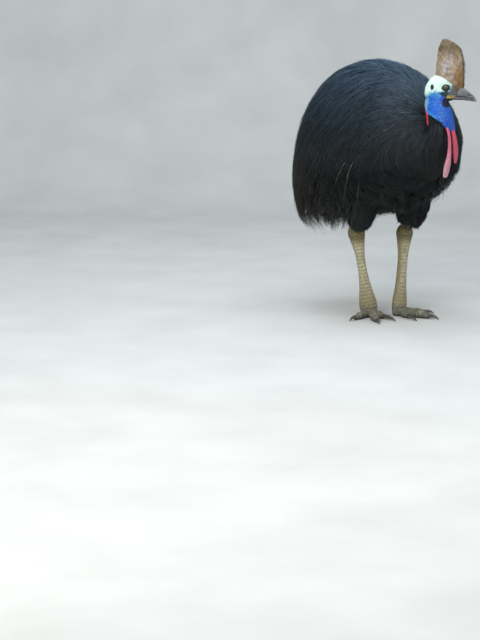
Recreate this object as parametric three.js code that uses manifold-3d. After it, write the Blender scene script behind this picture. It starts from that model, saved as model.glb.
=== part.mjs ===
// A southern cassowary standing still, life size, with its neck drawn down and its head turned to its left.
// Millimetres, +Z up. The bird faces -Y, its left side is +X, and the soles of its feet lie at z = 0.
import * as THREE from "three";
import { mergeVertices } from "three/addons/utils/BufferGeometryUtils.js";
import Module from "manifold-3d";

const wasm = await Module();
wasm.setup();

// Clearance between two pieces that touch, and the size under which slivers of a cut are closed.
const GAP = 0.3;
const SLIVER = 0.1;

// The coat of the body from chest to rump: place along the body, half width, top, level of the
// greatest width, and bottom. The rump's feathers hang lower than the belly.
const COAT_FRONT = -385;
const COAT_REAR = 500;
const COAT = [
  [-385, 175, 960, 770, 610],
  [-300, 212, 1025, 770, 540],
  [-200, 240, 1063, 755, 470],
  [-60, 266, 1083, 720, 440],
  [90, 282, 1080, 685, 425],
  [240, 280, 1042, 625, 345],
  [370, 250, 965, 560, 275],
  [500, 205, 830, 500, 255],
];
const COAT_ROUNDING = 3.2;
// How far the chest leans back for each millimetre of height.
const CHEST_LEAN = 0.28;
// The coat's closed core lies this far inside its outline, and further in over the belly and rump.
const CORE_DEPTH = 24;
const CORE_BELLY = 26;
// Points inside the body that its locks are spread around: middle and half sizes of the spread,
// how much closer they stand towards the top, and how far under the body the lowest ones face.
const SPREAD = { middle: [0, -40, 745], half: [275, 420, 330], count: 84, crowd: 1.18, under: -0.5 };
// Locks of feathers: length, half width and half thickness, how deep the root is sunk, how far
// under the outline a lock may lie, how far it hangs clear where the body turns under, and how
// much each one is turned and varied.
const LOCKS = {
  body: { length: 300, wide: 69, thick: 11, sunk: 38, under: 8, hang: 16, turn: 16, vary: 0.18 },
  thigh: { length: 0.62, wide: 44, thick: 6, sunk: 18, turn: 8, vary: 0.12, rows: 2, around: 4 },
  neck: { length: 0.28, wide: 30, thick: 5, sunk: 14, turn: 8, vary: 0.12, rows: 2, around: 5 },
};
// Where along its length a lock has its sections, and the share of its full width at each.
const LOCK_SECTIONS = [
  [0, 0],
  [0.12, 0.8],
  [0.42, 1],
  [0.78, 0.68],
  [1, 0],
];

// The rump parts from the torso along a leaning plane that crosses the spine here.
const RUMP_CUT = { y: 62, z: 800, lean: 18 };

// The neck's middle line, from inside the chest up to the back of the head, with its half width
// and half depth at each point.
const NECK_LINE = [
  [0, -230, 640, 84, 88],
  [-1, -325, 720, 82, 78],
  [-2, -372, 790, 62, 60],
  [-2, -372, 845, 46, 55],
  [-3, -344, 895, 36, 48],
  [0, -334, 945, 32, 40],
  [6, -336, 975, 26, 34],
];
// Feathers end on the neck in a slanting line, lower at the throat.
const FEATHER_EDGE = { rear: 868, front: 826 };

// The head's own frame: its origin lies midway between the eyes and it faces along -Y.
const HEAD_PLACE = [30, -366, 985];
const HEAD_TURN = 46;
// Skin of the head: place forward of the eyes, half width, top, widest level, bottom.
const HEAD_REAR = -86;
const HEAD_FRONT = 66;
const HEAD = [
  [-86, 26, 20, -22, -64],
  [-60, 29, 42, -14, -66],
  [-30, 30, 50, -8, -64],
  [5, 27, 42, -6, -58],
  [35, 23, 22, -14, -52],
  [66, 17, 0, -24, -50],
];
// The casque: height above the eyes, rear edge and front edge forward of them, half thickness.
const CASQUE_FOOT = -26;
const CASQUE_TOP = 190;
const CASQUE = [
  [-26, -40, 66, 20],
  [45, -44, 72, 20],
  [80, -42, 72, 17],
  [122, -39, 65, 13],
  [158, -34, 46, 10],
  [188, -30, 12, 7],
];
// The upper and lower bill: place forward of the eyes, half width, top, bottom.
const BILL_UPPER = [
  [42, 21, 4, -38],
  [75, 16, 4, -39],
  [100, 11, -14, -44],
  [120, 6.5, -34, -51],
  [132, 3.5, -48, -58],
];
const BILL_LOWER = [
  [8, 19, -40, -56],
  [60, 15, -41, -55],
  [96, 9.5, -46, -57],
  [122, 4, -54, -60],
];
const EYE = { x: 20.5, radius: 12, sides: 12, rings: 8 };
const LID = { thickness: 1.8, length: 10.5, height: 7.5 };
const NOSTRIL = { forward: 88, up: -16, length: 8, height: 2.6, depth: 3 };
const EAR = { back: 55, up: -2, length: 5.5, height: 9, depth: 7 };
const MOUTH_CORNER = { forward: 5, up: -39, depth: 3 };

// The two wattles hang from the throat over the feathered chest: points down the middle with
// half width and half thickness, and which side each grows on.
const WATTLES = {
  wattle_right: [
    [-8, -418, 838, 6.5, 5.5],
    [-9, -438, 808, 7, 5.5],
    [-8, -446, 770, 7.5, 6],
    [-7, -444, 715, 10, 7.5],
    [-9, -438, 665, 20, 10],
    [-10, -433, 640, 15, 8],
  ],
  wattle_left: [
    [32, -410, 840, 7, 5.5],
    [33, -430, 808, 9.5, 6.5],
    [33, -438, 770, 12.5, 8],
    [35, -436, 728, 13, 8],
    [37, -430, 692, 7.5, 5.5],
  ],
};

// Legs: hip, knee, hock and the middle of the pad under the toes' root of each side.
const LEGS = {
  right: { side: -1, hip: [-120, -7, 560], knee: [-122, -12, 470], hock: [-105, 53, 357], foot: [-61, 33, -6] },
  left: { side: 1, hip: [118, -12, 560], knee: [112, -50, 470], hock: [90, -12, 350], foot: [60, -16, -6] },
};
const TROUSER_SIZES = [96, 88, 68, 38];
const TROUSER_DEPTH = 9;
const TROUSER_END = 26;
// The shank from above the hock down to the foot joint: share of the way, half width, half depth.
const SHANK = [
  [0, 27, 30],
  [0.07, 34, 34],
  [0.17, 28, 29],
  [0.31, 19.5, 22],
  [0.52, 18.5, 21],
  [0.7, 26, 24],
  [0.81, 34, 28],
  [0.9, 32, 28],
  [1, 29, 27],
];
// Plates across the front of the shank and the tops of the toes: how many, how far each one's
// lower edge stands up, and the share of its length at which that edge lies.
const SHANK_SCUTES = { count: 13, lift: 2.2, edge: 0.86, facing: 1 };
const TOE_SCUTES = { count: 5, lift: 1.8, edge: 0.84, facing: -1 };
const TOE_OUT = 25;
// A toe from root to tip: share of its length, height of its middle and radius, in its own radius.
const TOE = [
  [0, 1.1, 1.2],
  [0.3, 0.95, 1.05],
  [0.65, 0.8, 0.92],
  [1, 0.68, 0.78],
];
const TOES = {
  inner: { turn: -38, length: 62, radius: 17, claw: 88, clawRadius: 11 },
  middle: { turn: 0, length: 128, radius: 19, claw: 46, clawRadius: 10 },
  outer: { turn: 44, length: 96, radius: 16, claw: 42, clawRadius: 8.5 },
};

// Small wings hidden on the flanks, and the bare quills that hang from each.
const WING = { place: [214, -110, 735], half: [24, 66, 42], quills: 5, clear: 46 };
const QUILL = { length: 250, root: 2.6, tip: 0.6 };

const COLOURS = {
  plumage: { color: 0x14161a, roughness: 0.75 },
  head: { color: 0xa9cfc0, roughness: 0.6 },
  neck: { color: 0x1f5fbf, roughness: 0.6 },
  casque: { color: 0x9a8266, roughness: 0.55 },
  bill: { color: 0x55504d, roughness: 0.45 },
  eye: { color: 0x2a1606, roughness: 0.1 },
  wattle: { color: 0xc23a4e, roughness: 0.55 },
  leg: { color: 0x8b8250, roughness: 0.6 },
  claw: { color: 0x35312c, roughness: 0.5 },
  quill: { color: 0x8d8a78, roughness: 0.5 },
};

const { degToRad, lerp, clamp, smoothstep } = THREE.MathUtils;
const vector = (x, y, z) => new THREE.Vector3(x, y, z);

// Smooth values between the rows of a table whose first column is the place.
function smooth(rows) {
  const size = rows[0].length - 1;
  const places = rows.map((row) => row[0]);
  const values = rows.flatMap((row) => row.slice(1));
  const track = new THREE.CubicInterpolant(places, values, size, new Float32Array(size));
  return (place) => [...track.evaluate(clamp(place, places[0], places.at(-1)))];
}

// A sphere whose rings and sides are moved to at(ring share, angle); both end rings are points.
function formed(sides, rings, at) {
  const geometry = new THREE.SphereGeometry(1, sides, rings);
  const position = geometry.getAttribute("position");
  for (let i = 0; i < position.count; i++) {
    const ring = Math.floor(i / (sides + 1));
    const side = i % (sides + 1) % sides;
    const place = at(ring / rings, (side / sides) * 2 * Math.PI);
    position.setXYZ(i, place.x, place.y, place.z);
  }
  return solidOf(geometry);
}

// The geometry as a solid, with its faces turned outwards.
function solidOf(geometry) {
  const bare = new THREE.BufferGeometry();
  bare.setAttribute("position", geometry.getAttribute("position"));
  bare.setIndex(geometry.index);
  const merged = mergeVertices(bare, 1e-3);
  const corners = [];
  for (let i = 0; i < merged.index.count; i += 3) {
    const [a, b, c] = [0, 1, 2].map((k) => merged.index.getX(i + k));
    if (a !== b && b !== c && a !== c) corners.push([a, b, c]);
  }
  const make = (order) =>
    new wasm.Manifold(
      new wasm.Mesh({
        numProp: 3,
        vertProperties: merged.getAttribute("position").array,
        triVerts: new Uint32Array(corners.flatMap(order)),
      }),
    );
  const solid = make((corner) => corner);
  return solid.volume() < 0 ? make(([a, b, c]) => [a, c, b]) : solid;
}

// Rounded ends: 1 in the middle of a run from -1 to 1, falling to 0 at both ends.
const rounding = (s, power) => Math.max(0, 1 - Math.abs(s) ** power) ** (1 / power);

// A body along Y whose section has a half width, a top, a widest level and a bottom at each place.
function hull({ front, rear, sides, rings, power, section, lean = 0 }) {
  return formed(sides, rings, (share, angle) => {
    const s = -Math.cos(share * Math.PI);
    const y = lerp(front, rear, (s + 1) / 2);
    const round = rounding(s, power);
    const { wide, top, level, bottom } = section(y);
    const up = Math.cos(angle);
    const reach = up > 0 ? top - level : level - bottom;
    const rise = reach * round * up;
    const back = (lean * rise * (1 - s)) / 2;
    return vector(wide * round * Math.sin(angle), y + back, level + rise);
  });
}

// A limb along a curve: half widths and depths at each share of its length, with the width along
// the hint as nearly as it can be. place(t, angle, lift) lies on its surface.
function limbOf({ points, sizes, hint }) {
  const curve = new THREE.CatmullRomCurve3(points);
  const sizeAt = smooth(sizes);
  return (t, angle, lift = 0) => {
    const tangent = curve.getTangentAt(t);
    const across = hint.clone().addScaledVector(tangent, -hint.dot(tangent)).normalize();
    const deep = tangent.clone().cross(across);
    const [width, depth] = sizeAt(t);
    const round = rounding(2 * t - 1, 6);
    return curve
      .getPointAt(t)
      .addScaledVector(across, (width + lift) * round * Math.cos(angle))
      .addScaledVector(deep, (depth + lift) * round * Math.sin(angle));
  };
}

// The limb as a solid with round ends. Scutes raise its surface in steps along one side.
function limb({ sides, rings, grow = 0, scutes, ...shape }) {
  const place = limbOf(shape);
  if (!scutes) {
    return formed(sides, rings, (share, angle) => place((1 - Math.cos(share * Math.PI)) / 2, angle, grow));
  }
  const last = 2 * scutes.count + 1;
  return formed(sides, last, (share, angle) => {
    const ring = clamp(Math.round(share * last) - 1, 0, last - 2);
    const edge = ring % 2;
    const t = (Math.floor(ring / 2) + edge * scutes.edge) / scutes.count;
    const lift = edge * scutes.lift * Math.max(0, scutes.facing * Math.sin(angle));
    return place(share === 1 ? 1 : t, angle, grow + lift);
  });
}

// An ellipsoid at a place, with half sizes along the axes.
const ball = (place, half, sides, rings) =>
  formed(sides, rings, (share, angle) => {
    const across = Math.sin(share * Math.PI);
    return vector(
      place[0] - half[0] * Math.cos(share * Math.PI),
      place[1] + half[1] * across * Math.cos(angle),
      place[2] + half[2] * across * Math.sin(angle),
    );
  });

// A box turned about X that fills everything on one side of a plane through (y, z).
function halfSpace({ y, z, lean }, gap) {
  const size = 2000;
  const box = new THREE.BoxGeometry(size, size, size);
  box.translate(0, size / 2 + gap, 0);
  box.rotateX(degToRad(-lean));
  box.translate(0, y, z);
  return solidOf(box);
}

const largest = (solid) =>
  solid.decompose().sort((a, b) => b.volume() - a.volume())[0];

const join = (solids) => wasm.Manifold.union(solids);

// Numbers from 0 to 1 that come out the same every time.
let seed = 3;
function random() {
  seed = (seed * 16807) % 2147483647;
  return seed / 2147483647;
}
const varied = (size, share) => size * (1 + share * (2 * random() - 1));

// A lock of feathers along a path of places, each with its direction outwards: flat, tapered and
// low ridged, with its root sunk and its tip out at the path. Grown, it widens most at its edges.
function lock({ path, wide, thick, sunk, under = 0 }, grow = 0) {
  const last = LOCK_SECTIONS.length - 1;
  return formed(3, last, (share, angle) => {
    const i = Math.round(share * last);
    const [along, size] = LOCK_SECTIONS[i];
    const { at, out } = path[i];
    const ahead = path[Math.min(i + 1, last)].at;
    const run = ahead.clone().sub(path[Math.max(i - 1, 0)].at).normalize();
    const across = run.clone().cross(out).normalize();
    const pointed = size === 0;
    const side = pointed ? 0 : (wide * size + 12 * grow) * Math.sin(angle);
    const ridge = pointed ? 0 : (thick * size + 2.5 * grow) * Math.cos(angle);
    return at
      .clone()
      .addScaledVector(run, pointed ? 10 * grow * Math.sign(along - 0.5) : 0)
      .addScaledVector(across, side)
      .addScaledVector(out, ridge - under - thick * size - sunk * (1 - smoothstep(along, 0, 0.28)));
  });
}

// The places of a lock's sections among evenly spaced places along its path.
const sectioned = (places) =>
  LOCK_SECTIONS.map(([along]) => {
    const step = along * (places.length - 1);
    const i = Math.min(Math.floor(step), places.length - 2);
    const [near, far] = [places[i], places[i + 1]];
    return {
      at: near.at.clone().lerp(far.at, step - i),
      out: near.out.clone().lerp(far.out, step - i).normalize(),
    };
  });

const root = new THREE.Group();

// The surface of a solid as three.js geometry.
function geometryOf(solid) {
  const mesh = solid.getMesh();
  const geometry = new THREE.BufferGeometry();
  geometry.setAttribute("position", new THREE.BufferAttribute(new Float32Array(mesh.vertProperties), 3));
  geometry.setIndex(new THREE.BufferAttribute(new Uint32Array(mesh.triVerts), 1));
  return geometry;
}

// One closed body without slivers, as it will be stored.
function finished(solid) {
  const once = largest(solid.asOriginal().simplify(SLIVER));
  return largest(solidOf(geometryOf(once)).asOriginal().simplify(SLIVER));
}

// A finished solid without the spots where it still touches others that it was cut clear of.
function clear(solid, others) {
  for (const other of others) {
    for (const spot of solid.intersect(other).decompose()) {
      const { min, max } = spot.boundingBox();
      const size = max.map((value, i) => value - min[i] + 2 * GAP);
      const around = wasm.Manifold.cube(size).translate(min.map((value) => value - GAP));
      solid = largest(solid.subtract(around));
    }
  }
  return solid;
}

// A named mesh of one closed body, with its colour, in a group, kept clear of others beside it.
function piece(name, solid, look, { group = root, beside = [] } = {}) {
  const whole = clear(finished(clear(finished(solid), beside)), beside);
  const geometry = geometryOf(whole);
  geometry.computeVertexNormals();
  const made = new THREE.Mesh(geometry, new THREE.MeshStandardMaterial({ ...COLOURS[look], metalness: 0 }));
  made.name = name;
  group.add(made);
  return whole;
}

// The outline of the body's coat, front to rear, or with a depth its core inside the outline.
const coatAt = smooth(COAT);
function coat(grow, belly = 0) {
  return hull({
    front: COAT_FRONT - grow,
    rear: COAT_REAR + grow,
    sides: 26,
    rings: 20,
    power: COAT_ROUNDING,
    lean: CHEST_LEAN,
    section(y) {
      const [wide, top, level, bottom] = coatAt(y);
      return { wide: wide + grow, top: top + grow, level, bottom: bottom - grow + belly };
    },
  });
}
const coatCore = (grow = 0) => coat(grow - CORE_DEPTH, CORE_BELLY);

// How far out a point lies in the coat: 1 on its outline.
const FAR_OUT = 9;
function coatReach({ x, y, z }) {
  const share = (place) => (2 * (place - COAT_FRONT)) / (COAT_REAR - COAT_FRONT) - 1;
  let place = y;
  for (let i = 0; i < 3; i++) {
    place = y - (CHEST_LEAN * (z - coatAt(place)[2]) * (1 - clamp(share(place), -1, 1))) / 2;
  }
  const round = rounding(share(place), COAT_ROUNDING);
  if (round === 0) return FAR_OUT;
  const [wide, top, level, bottom] = coatAt(place);
  const reach = z > level ? top - level : level - bottom;
  return Math.hypot(x / wide, (z - level) / reach) / round;
}

// The place on the coat's outline straight out from the middle of the body through a point, and
// the direction outwards there.
function onCoat(point) {
  const y = clamp(point.y, COAT_FRONT + 165, COAT_REAR - 170);
  const middle = vector(0, y, coatAt(y)[2]);
  const ray = point.clone().sub(middle).normalize();
  const along = (length) => middle.clone().addScaledVector(ray, length);
  let [inside, outside] = [0, 700];
  for (let i = 0; i < 22; i++) {
    const half = (inside + outside) / 2;
    if (coatReach(along(half)) < 1) inside = half;
    else outside = half;
  }
  const near = along(inside * 0.96);
  const slope = ["x", "y", "z"].map((axis) => {
    const [less, more] = [near.clone(), near.clone()];
    less[axis] -= 3;
    more[axis] += 3;
    return coatReach(more) - coatReach(less);
  });
  return { at: along(inside), out: vector(...slope).normalize() };
}

// The way the feathers lie where the body faces outwards: straight down the chest and rump, back
// and down over the flanks, and back along the top.
function lie({ x, y }, out) {
  const side = 0.65 * smoothstep(y, -380, -120) * (1 - 0.75 * smoothstep(y, 200, 430));
  return vector(0.3 * clamp(x / 120, -1, 1), side + 1.6 * smoothstep(out.z, 0.6, 1), -1);
}

// A path combed down the coat from a root. Where the body turns under, it hangs clear a little.
function combed(start, { length, hang, turn, vary }) {
  const steps = 12;
  const stride = varied(length, vary) / steps;
  const twist = degToRad(turn * (2 * random() - 1));
  const places = [onCoat(start)];
  for (let i = 0; i < steps; i++) {
    const { at, out } = places.at(-1);
    const run = lie(at, out);
    const hanging = out.z < -0.25;
    if (!hanging) run.addScaledVector(out, -run.dot(out));
    const next = at.clone().addScaledVector(run.normalize().applyAxisAngle(out, twist), stride);
    const flat = onCoat(next);
    const clear = hanging ? clamp(next.sub(flat.at).dot(flat.out), 0, hang) : 0;
    places.push({ at: flat.at.addScaledVector(flat.out, clear), out: flat.out });
  }
  return sectioned(places);
}

// Locks of the body, with roots spread evenly around it and none underneath.
function bodyLocks() {
  const { middle, half, count, crowd, under } = SPREAD;
  const golden = Math.PI * (3 - Math.sqrt(5));
  const locks = [];
  for (let i = 0; i < count; i++) {
    const up = 1 - 2 * ((i + 0.5) / count) ** crowd;
    const ring = Math.sqrt(1 - up * up);
    const away = vector(ring * Math.cos(golden * i), ring * Math.sin(golden * i), up);
    const start = away.multiply(vector(...half)).add(vector(...middle));
    const path = combed(start, LOCKS.body);
    const size = { wide: varied(LOCKS.body.wide, 0.12), under: LOCKS.body.under * random() };
    if (path[0].out.z > under) locks.push({ ...LOCKS.body, ...size, path });
  }
  return locks;
}

// Locks draped along a limb from one share of its length to another, in staggered rows.
function limbLocks(place, from, step, { rows, around, length, turn, vary, ...size }) {
  const locks = [];
  for (let i = 0; i < rows * around; i++) {
    const row = Math.floor(i / around);
    const angle = ((i + row / 2) / around) * 2 * Math.PI;
    const start = from + row * step;
    const end = start + Math.sign(step) * varied(length, vary);
    const drift = degToRad(turn * (2 * random() - 1));
    const places = [0, 0.2, 0.4, 0.6, 0.8, 1].map((share) => {
      const t = clamp(lerp(start, end, share), 0.02, 0.98);
      const at = place(t, angle + drift * share);
      return { at, out: place(t, angle + drift * share, 1).sub(at).normalize() };
    });
    locks.push({ ...size, path: sectioned(places) });
  }
  return locks;
}

// The neck's whole length, feathered and bare.
const neckShape = {
  points: NECK_LINE.map(([x, y, z]) => vector(x, y, z)),
  sizes: NECK_LINE.map(([, , , wide, deep], i) => [i / (NECK_LINE.length - 1), wide, deep]),
  hint: vector(1, 0.35, 0),
};
const neckWhole = (grow = 0) => limb({ ...neckShape, sides: 18, rings: 14, grow });

// Everything above the slanting edge of the neck's feathers.
function aboveFeathers(gap) {
  const [, y, z] = NECK_LINE[3];
  const lean = THREE.MathUtils.radToDeg(Math.atan2(FEATHER_EDGE.rear - FEATHER_EDGE.front, 100));
  const size = 600;
  const box = new THREE.BoxGeometry(size, size, size);
  box.translate(0, 0, size / 2 + gap);
  box.rotateX(degToRad(lean));
  box.translate(0, y, lerp(FEATHER_EDGE.front, FEATHER_EDGE.rear, 0.5));
  return solidOf(box);
}

const headMatrix = new THREE.Matrix4()
  .makeRotationZ(degToRad(HEAD_TURN))
  .setPosition(...HEAD_PLACE);
const inBody = (solid) => solid.transform(headMatrix.elements);

// The head's skin before the bill, eyes and casque are let into it.
const headAt = smooth(HEAD);
function headSkin(grow = 0) {
  return hull({
    front: -HEAD_FRONT - grow,
    rear: -HEAD_REAR + grow,
    sides: 20,
    rings: 14,
    power: 3,
    section(y) {
      const [wide, top, level, bottom] = headAt(-y);
      return { wide: wide + grow, top: top + grow, level, bottom: bottom - grow };
    },
  });
}

// The casque is a tall blade of horn, thickest at its foot and sharp along its front edge.
const casqueAt = smooth(CASQUE);
function casqueWhole(grow = 0) {
  return formed(16, 12, (share, angle) => {
    const s = -Math.cos(share * Math.PI);
    const z = lerp(CASQUE_FOOT - grow, CASQUE_TOP + grow, (s + 1) / 2);
    const round = rounding(s, 4);
    const [rear, front, thick] = casqueAt(z);
    const middle = (rear + front) / 2;
    const reach = Math.cos(angle);
    const forward = middle + ((front - rear) / 2 + grow) * round * reach;
    const taper = 1 - 0.35 * smoothstep(reach, 0, 1);
    return vector((thick + grow) * round * taper * Math.sin(angle), -forward, z);
  });
}

// Half of the bill: flat along the mouth, arched on the other side.
function billHalf(rows, { grow = 0, arch, flat }) {
  const at = smooth(rows);
  const front = rows.at(-1)[0] + grow;
  const rear = rows[0][0] - grow;
  return formed(12, 9, (share, angle) => {
    const s = -Math.cos(share * Math.PI);
    const forward = lerp(rear, front, (s + 1) / 2);
    const round = rounding(s, 5);
    const [wide, top, bottom] = at(forward);
    const level = lerp(bottom, top, arch > 0 ? 0.25 : 0.75);
    const up = Math.cos(angle);
    const bend = Math.sign(up) === arch ? 1 : flat;
    const reach = up > 0 ? top + grow - level : level - bottom + grow;
    return vector(
      (wide + grow) * round * Math.sign(Math.sin(angle)) * Math.abs(Math.sin(angle)) ** bend,
      -forward,
      level + reach * round * Math.sign(up) * Math.abs(up) ** bend,
    );
  });
}
const billUpper = (grow = 0) => billHalf(BILL_UPPER, { grow, arch: 1, flat: 0.5 });
function nostrils() {
  const { forward, up, length, height, depth } = NOSTRIL;
  const [wide] = smooth(BILL_UPPER)(forward);
  return [-1, 1].map((side) => ball([side * wide * 0.95, -forward, up], [depth, length, height], 8, 4));
}
const billLower = (grow = 0) => billHalf(BILL_LOWER, { grow, arch: -1, flat: 0.5 });

const eyeball = (side, grow = 0) =>
  ball([side * EYE.x, 0, 0], Array(3).fill(EYE.radius + grow), EYE.sides, EYE.rings);

// The head with lids, ear openings and the line of the mouth.
function head() {
  let made = headSkin();
  for (const side of [-1, 1]) {
    const outer = EYE.radius + LID.thickness;
    const lids = ball([side * EYE.x, 0, 0], [outer, outer, outer], 12, 8).subtract(
      ball([side * (EYE.x + EYE.radius), 0, 0], [EYE.radius, LID.length, LID.height], 12, 6),
    );
    made = made.add(lids).subtract(eyeball(side, GAP));
    const [wide] = headAt(-EAR.back);
    const ear = [side * wide, EAR.back, EAR.up];
    made = made
      .add(ball(ear, [3, EAR.length + 3, EAR.height + 3], 10, 4))
      .subtract(ball(ear, [EAR.depth, EAR.length, EAR.height], 8, 6));
    const corner = [side * (headAt(30)[0] + 2), -30, MOUTH_CORNER.up];
    made = made.subtract(ball(corner, [MOUTH_CORNER.depth + 2, 30 - MOUTH_CORNER.forward, 1], 8, 4));
  }
  return made.subtract(billUpper(GAP)).subtract(billLower(GAP));
}

function wattle(rows, grow = 0) {
  const last = rows.length - 1;
  return limb({
    points: rows.map(([x, y, z]) => vector(x, y, z)),
    sizes: rows.map(([, , , wide, thick], i) => [i / last, wide, thick]),
    hint: vector(1, 0.4, 0),
    sides: 10,
    rings: 12,
    grow,
  });
}

// The feathered thigh and drumstick down to just above the hock.
function trousersShape({ hip, knee, hock, side }) {
  const line = new THREE.CatmullRomCurve3([hip, knee, hock].map((p) => vector(...p)));
  const end = 1 - TROUSER_END / line.getLength();
  return {
    points: [0, 0.35, 0.7, 1].map((t) => line.getPointAt(t * end)),
    sizes: TROUSER_SIZES.map((size, i) => [i / 3, size, size]),
    hint: vector(side, 0, 0),
  };
}
function thighOf(leg) {
  const shape = trousersShape(leg);
  const locks = limbLocks(limbOf(shape), 0.3, 0.12, LOCKS.thigh);
  return (grow = 0) =>
    join([
      limb({ ...shape, sides: 16, rings: 9, grow: grow - TROUSER_DEPTH }),
      ...locks.map((one) => lock(one, grow)),
    ]);
}

function shank({ hock, foot, side }, grow = 0) {
  const [top, end] = [vector(...hock), vector(...foot)];
  const above = top.clone().lerp(end, -0.1);
  return limb({
    points: [above, top, top.clone().lerp(end, 0.5), end],
    sizes: SHANK,
    hint: vector(1, side * Math.tan(degToRad(TOE_OUT)), 0),
    sides: 12,
    scutes: SHANK_SCUTES,
    grow,
  });
}

// Where a toe starts and how it runs: out of the pad, flat on the floor, to the root of its claw.
function toeLine({ foot, side }, { turn, length }) {
  const heading = degToRad(side * (TOE_OUT + turn));
  const ahead = vector(Math.sin(heading), -Math.cos(heading), 0);
  const start = vector(foot[0], foot[1], 0);
  return { ahead, start, tip: start.clone().addScaledVector(ahead, length + 20) };
}

function toe(leg, size, grow = 0) {
  const { ahead, start, tip } = toeLine(leg, size);
  const rows = TOE.map(([share, height, radius]) => [share, height * size.radius, radius * size.radius]);
  return limb({
    points: rows.map(([share, height]) => start.clone().lerp(tip, share).setZ(height)),
    sizes: rows.map(([share, , radius]) => [share, radius, radius]),
    hint: vector(ahead.y, -ahead.x, 0),
    sides: 10,
    scutes: TOE_SCUTES,
    grow,
  });
}

function claw(leg, size, grow = 0) {
  const { ahead, tip } = toeLine(leg, size);
  const at = (out, height) => tip.clone().addScaledVector(ahead, out).setZ(height);
  const radius = size.clawRadius;
  return limb({
    points: [at(-14, 13), at(size.claw * 0.35, 14), at(size.claw * 0.7, 10), at(size.claw, 3)],
    sizes: [
      [0, radius, radius * 0.9],
      [0.5, radius * 0.75, radius * 0.7],
      [1, 1.2, 1.2],
    ],
    hint: vector(ahead.y, -ahead.x, 0),
    sides: 8,
    rings: 7,
    grow,
  });
}

function wing(side, grow = 0) {
  const [x, y, z] = WING.place;
  let made = ball([side * x, y, z], WING.half.map((h) => h + grow), 10, 6);
  for (let i = 0; i < WING.quills; i++) {
    const share = i / (WING.quills - 1);
    const lean = degToRad(lerp(10, 42, share));
    const length = QUILL.length * lerp(1, 0.75, share);
    const start = vector(side * (x + WING.half[0] - 8), y + lerp(-30, 40, share), z - 14);
    const run = vector(0, Math.sin(lean), -Math.cos(lean));
    const at = (out, bulge) =>
      start.clone().addScaledVector(run, length * out).add(vector(side * bulge, 0, 0));
    made = made.add(
      limb({
        points: [at(-0.05, -4), at(0.25, WING.clear), at(0.6, WING.clear), at(1, WING.clear * 0.6)],
        sizes: [
          [0, QUILL.root, QUILL.root],
          [1, QUILL.tip, QUILL.tip],
        ],
        hint: vector(0, 1, 0),
        sides: 4,
        rings: 6,
        grow,
      }),
    );
  }
  return made;
}

const floor = () => {
  const size = 3000;
  const box = new THREE.BoxGeometry(size, size, size);
  box.translate(0, 0, size / 2);
  return solidOf(box);
};

// Body: a core under locks. The core parts along the leaning plane, and the torso's locks lie over
// the rump, clear of wings, neck and wattles.
const bare = neckWhole().intersect(aboveFeathers(GAP)).subtract(inBody(headSkin(GAP)));
const hanging = Object.entries(WATTLES);
const wings = { right: -1, left: 1 };
const clearOf = [
  neckWhole(GAP).intersect(aboveFeathers(0)),
  ...hanging.map(([, rows]) => wattle(rows, GAP)),
  ...Object.values(wings).map((side) => wing(side, GAP)),
];
const { y: cutAt, z: cutLevel, lean: cutLean } = RUMP_CUT;
const cutSlope = Math.tan(degToRad(cutLean));
const isRump = ({ path }) => path[0].at.y - cutAt > (path[0].at.z - cutLevel) * cutSlope;
const locks = bodyLocks();
const ofTorso = locks.filter((one) => !isRump(one));
const torso = (grow = 0) =>
  join([coatCore(grow).subtract(halfSpace(RUMP_CUT, grow)), ...ofTorso.map((one) => lock(one, grow))]);
const torsoGrown = torso(GAP);
const rump = join([
  coatCore().intersect(halfSpace(RUMP_CUT, GAP)),
  ...locks.filter(isRump).map((one) => lock(one)),
]);
const front = piece("torso", torso().subtract(join(clearOf)), "plumage");
const behind = rump.subtract(torsoGrown).subtract(join(clearOf));
const rear = piece("rump", behind, "plumage", { beside: [front] });
const bodyGrown = torsoGrown.add(coatCore(GAP)).add(join(locks.map((one) => lock(one, GAP))));
for (const [name, side] of Object.entries(wings)) piece("wing_" + name, wing(side), "quill");

// Neck: feathers below the slanting edge, bare blue skin above it, and the wattles at its front.
const neckLocks = limbLocks(limbOf(neckShape), 0.66, -0.12, LOCKS.neck);
const feathered = join([neckWhole(-LOCKS.neck.thick), ...neckLocks.map((one) => lock(one))]);
let collar = feathered.subtract(torsoGrown).subtract(aboveFeathers(0));
for (const [name, rows] of hanging) {
  collar = collar.subtract(wattle(rows, GAP));
  piece(name, wattle(rows).subtract(neckWhole(GAP)), "wattle");
}
piece("neck_feathered", collar, "plumage", { beside: [front] });
piece("neck", bare, "neck");

// Head, in its own turned frame.
const headGroup = new THREE.Group();
headGroup.position.set(...HEAD_PLACE);
headGroup.rotation.z = degToRad(HEAD_TURN);
root.add(headGroup);
const upper = billUpper().subtract(join(nostrils()));
piece("head", head(), "head", { group: headGroup });
const casque = casqueWhole().subtract(headSkin(GAP)).subtract(billUpper(GAP));
piece("casque", casque, "casque", { group: headGroup });
piece("bill_upper", upper, "bill", { group: headGroup });
piece("bill_lower", billLower().subtract(billUpper(GAP)), "bill", { group: headGroup });
piece("eye_right", eyeball(-1), "eye", { group: headGroup });
piece("eye_left", eyeball(1), "eye", { group: headGroup });

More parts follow.
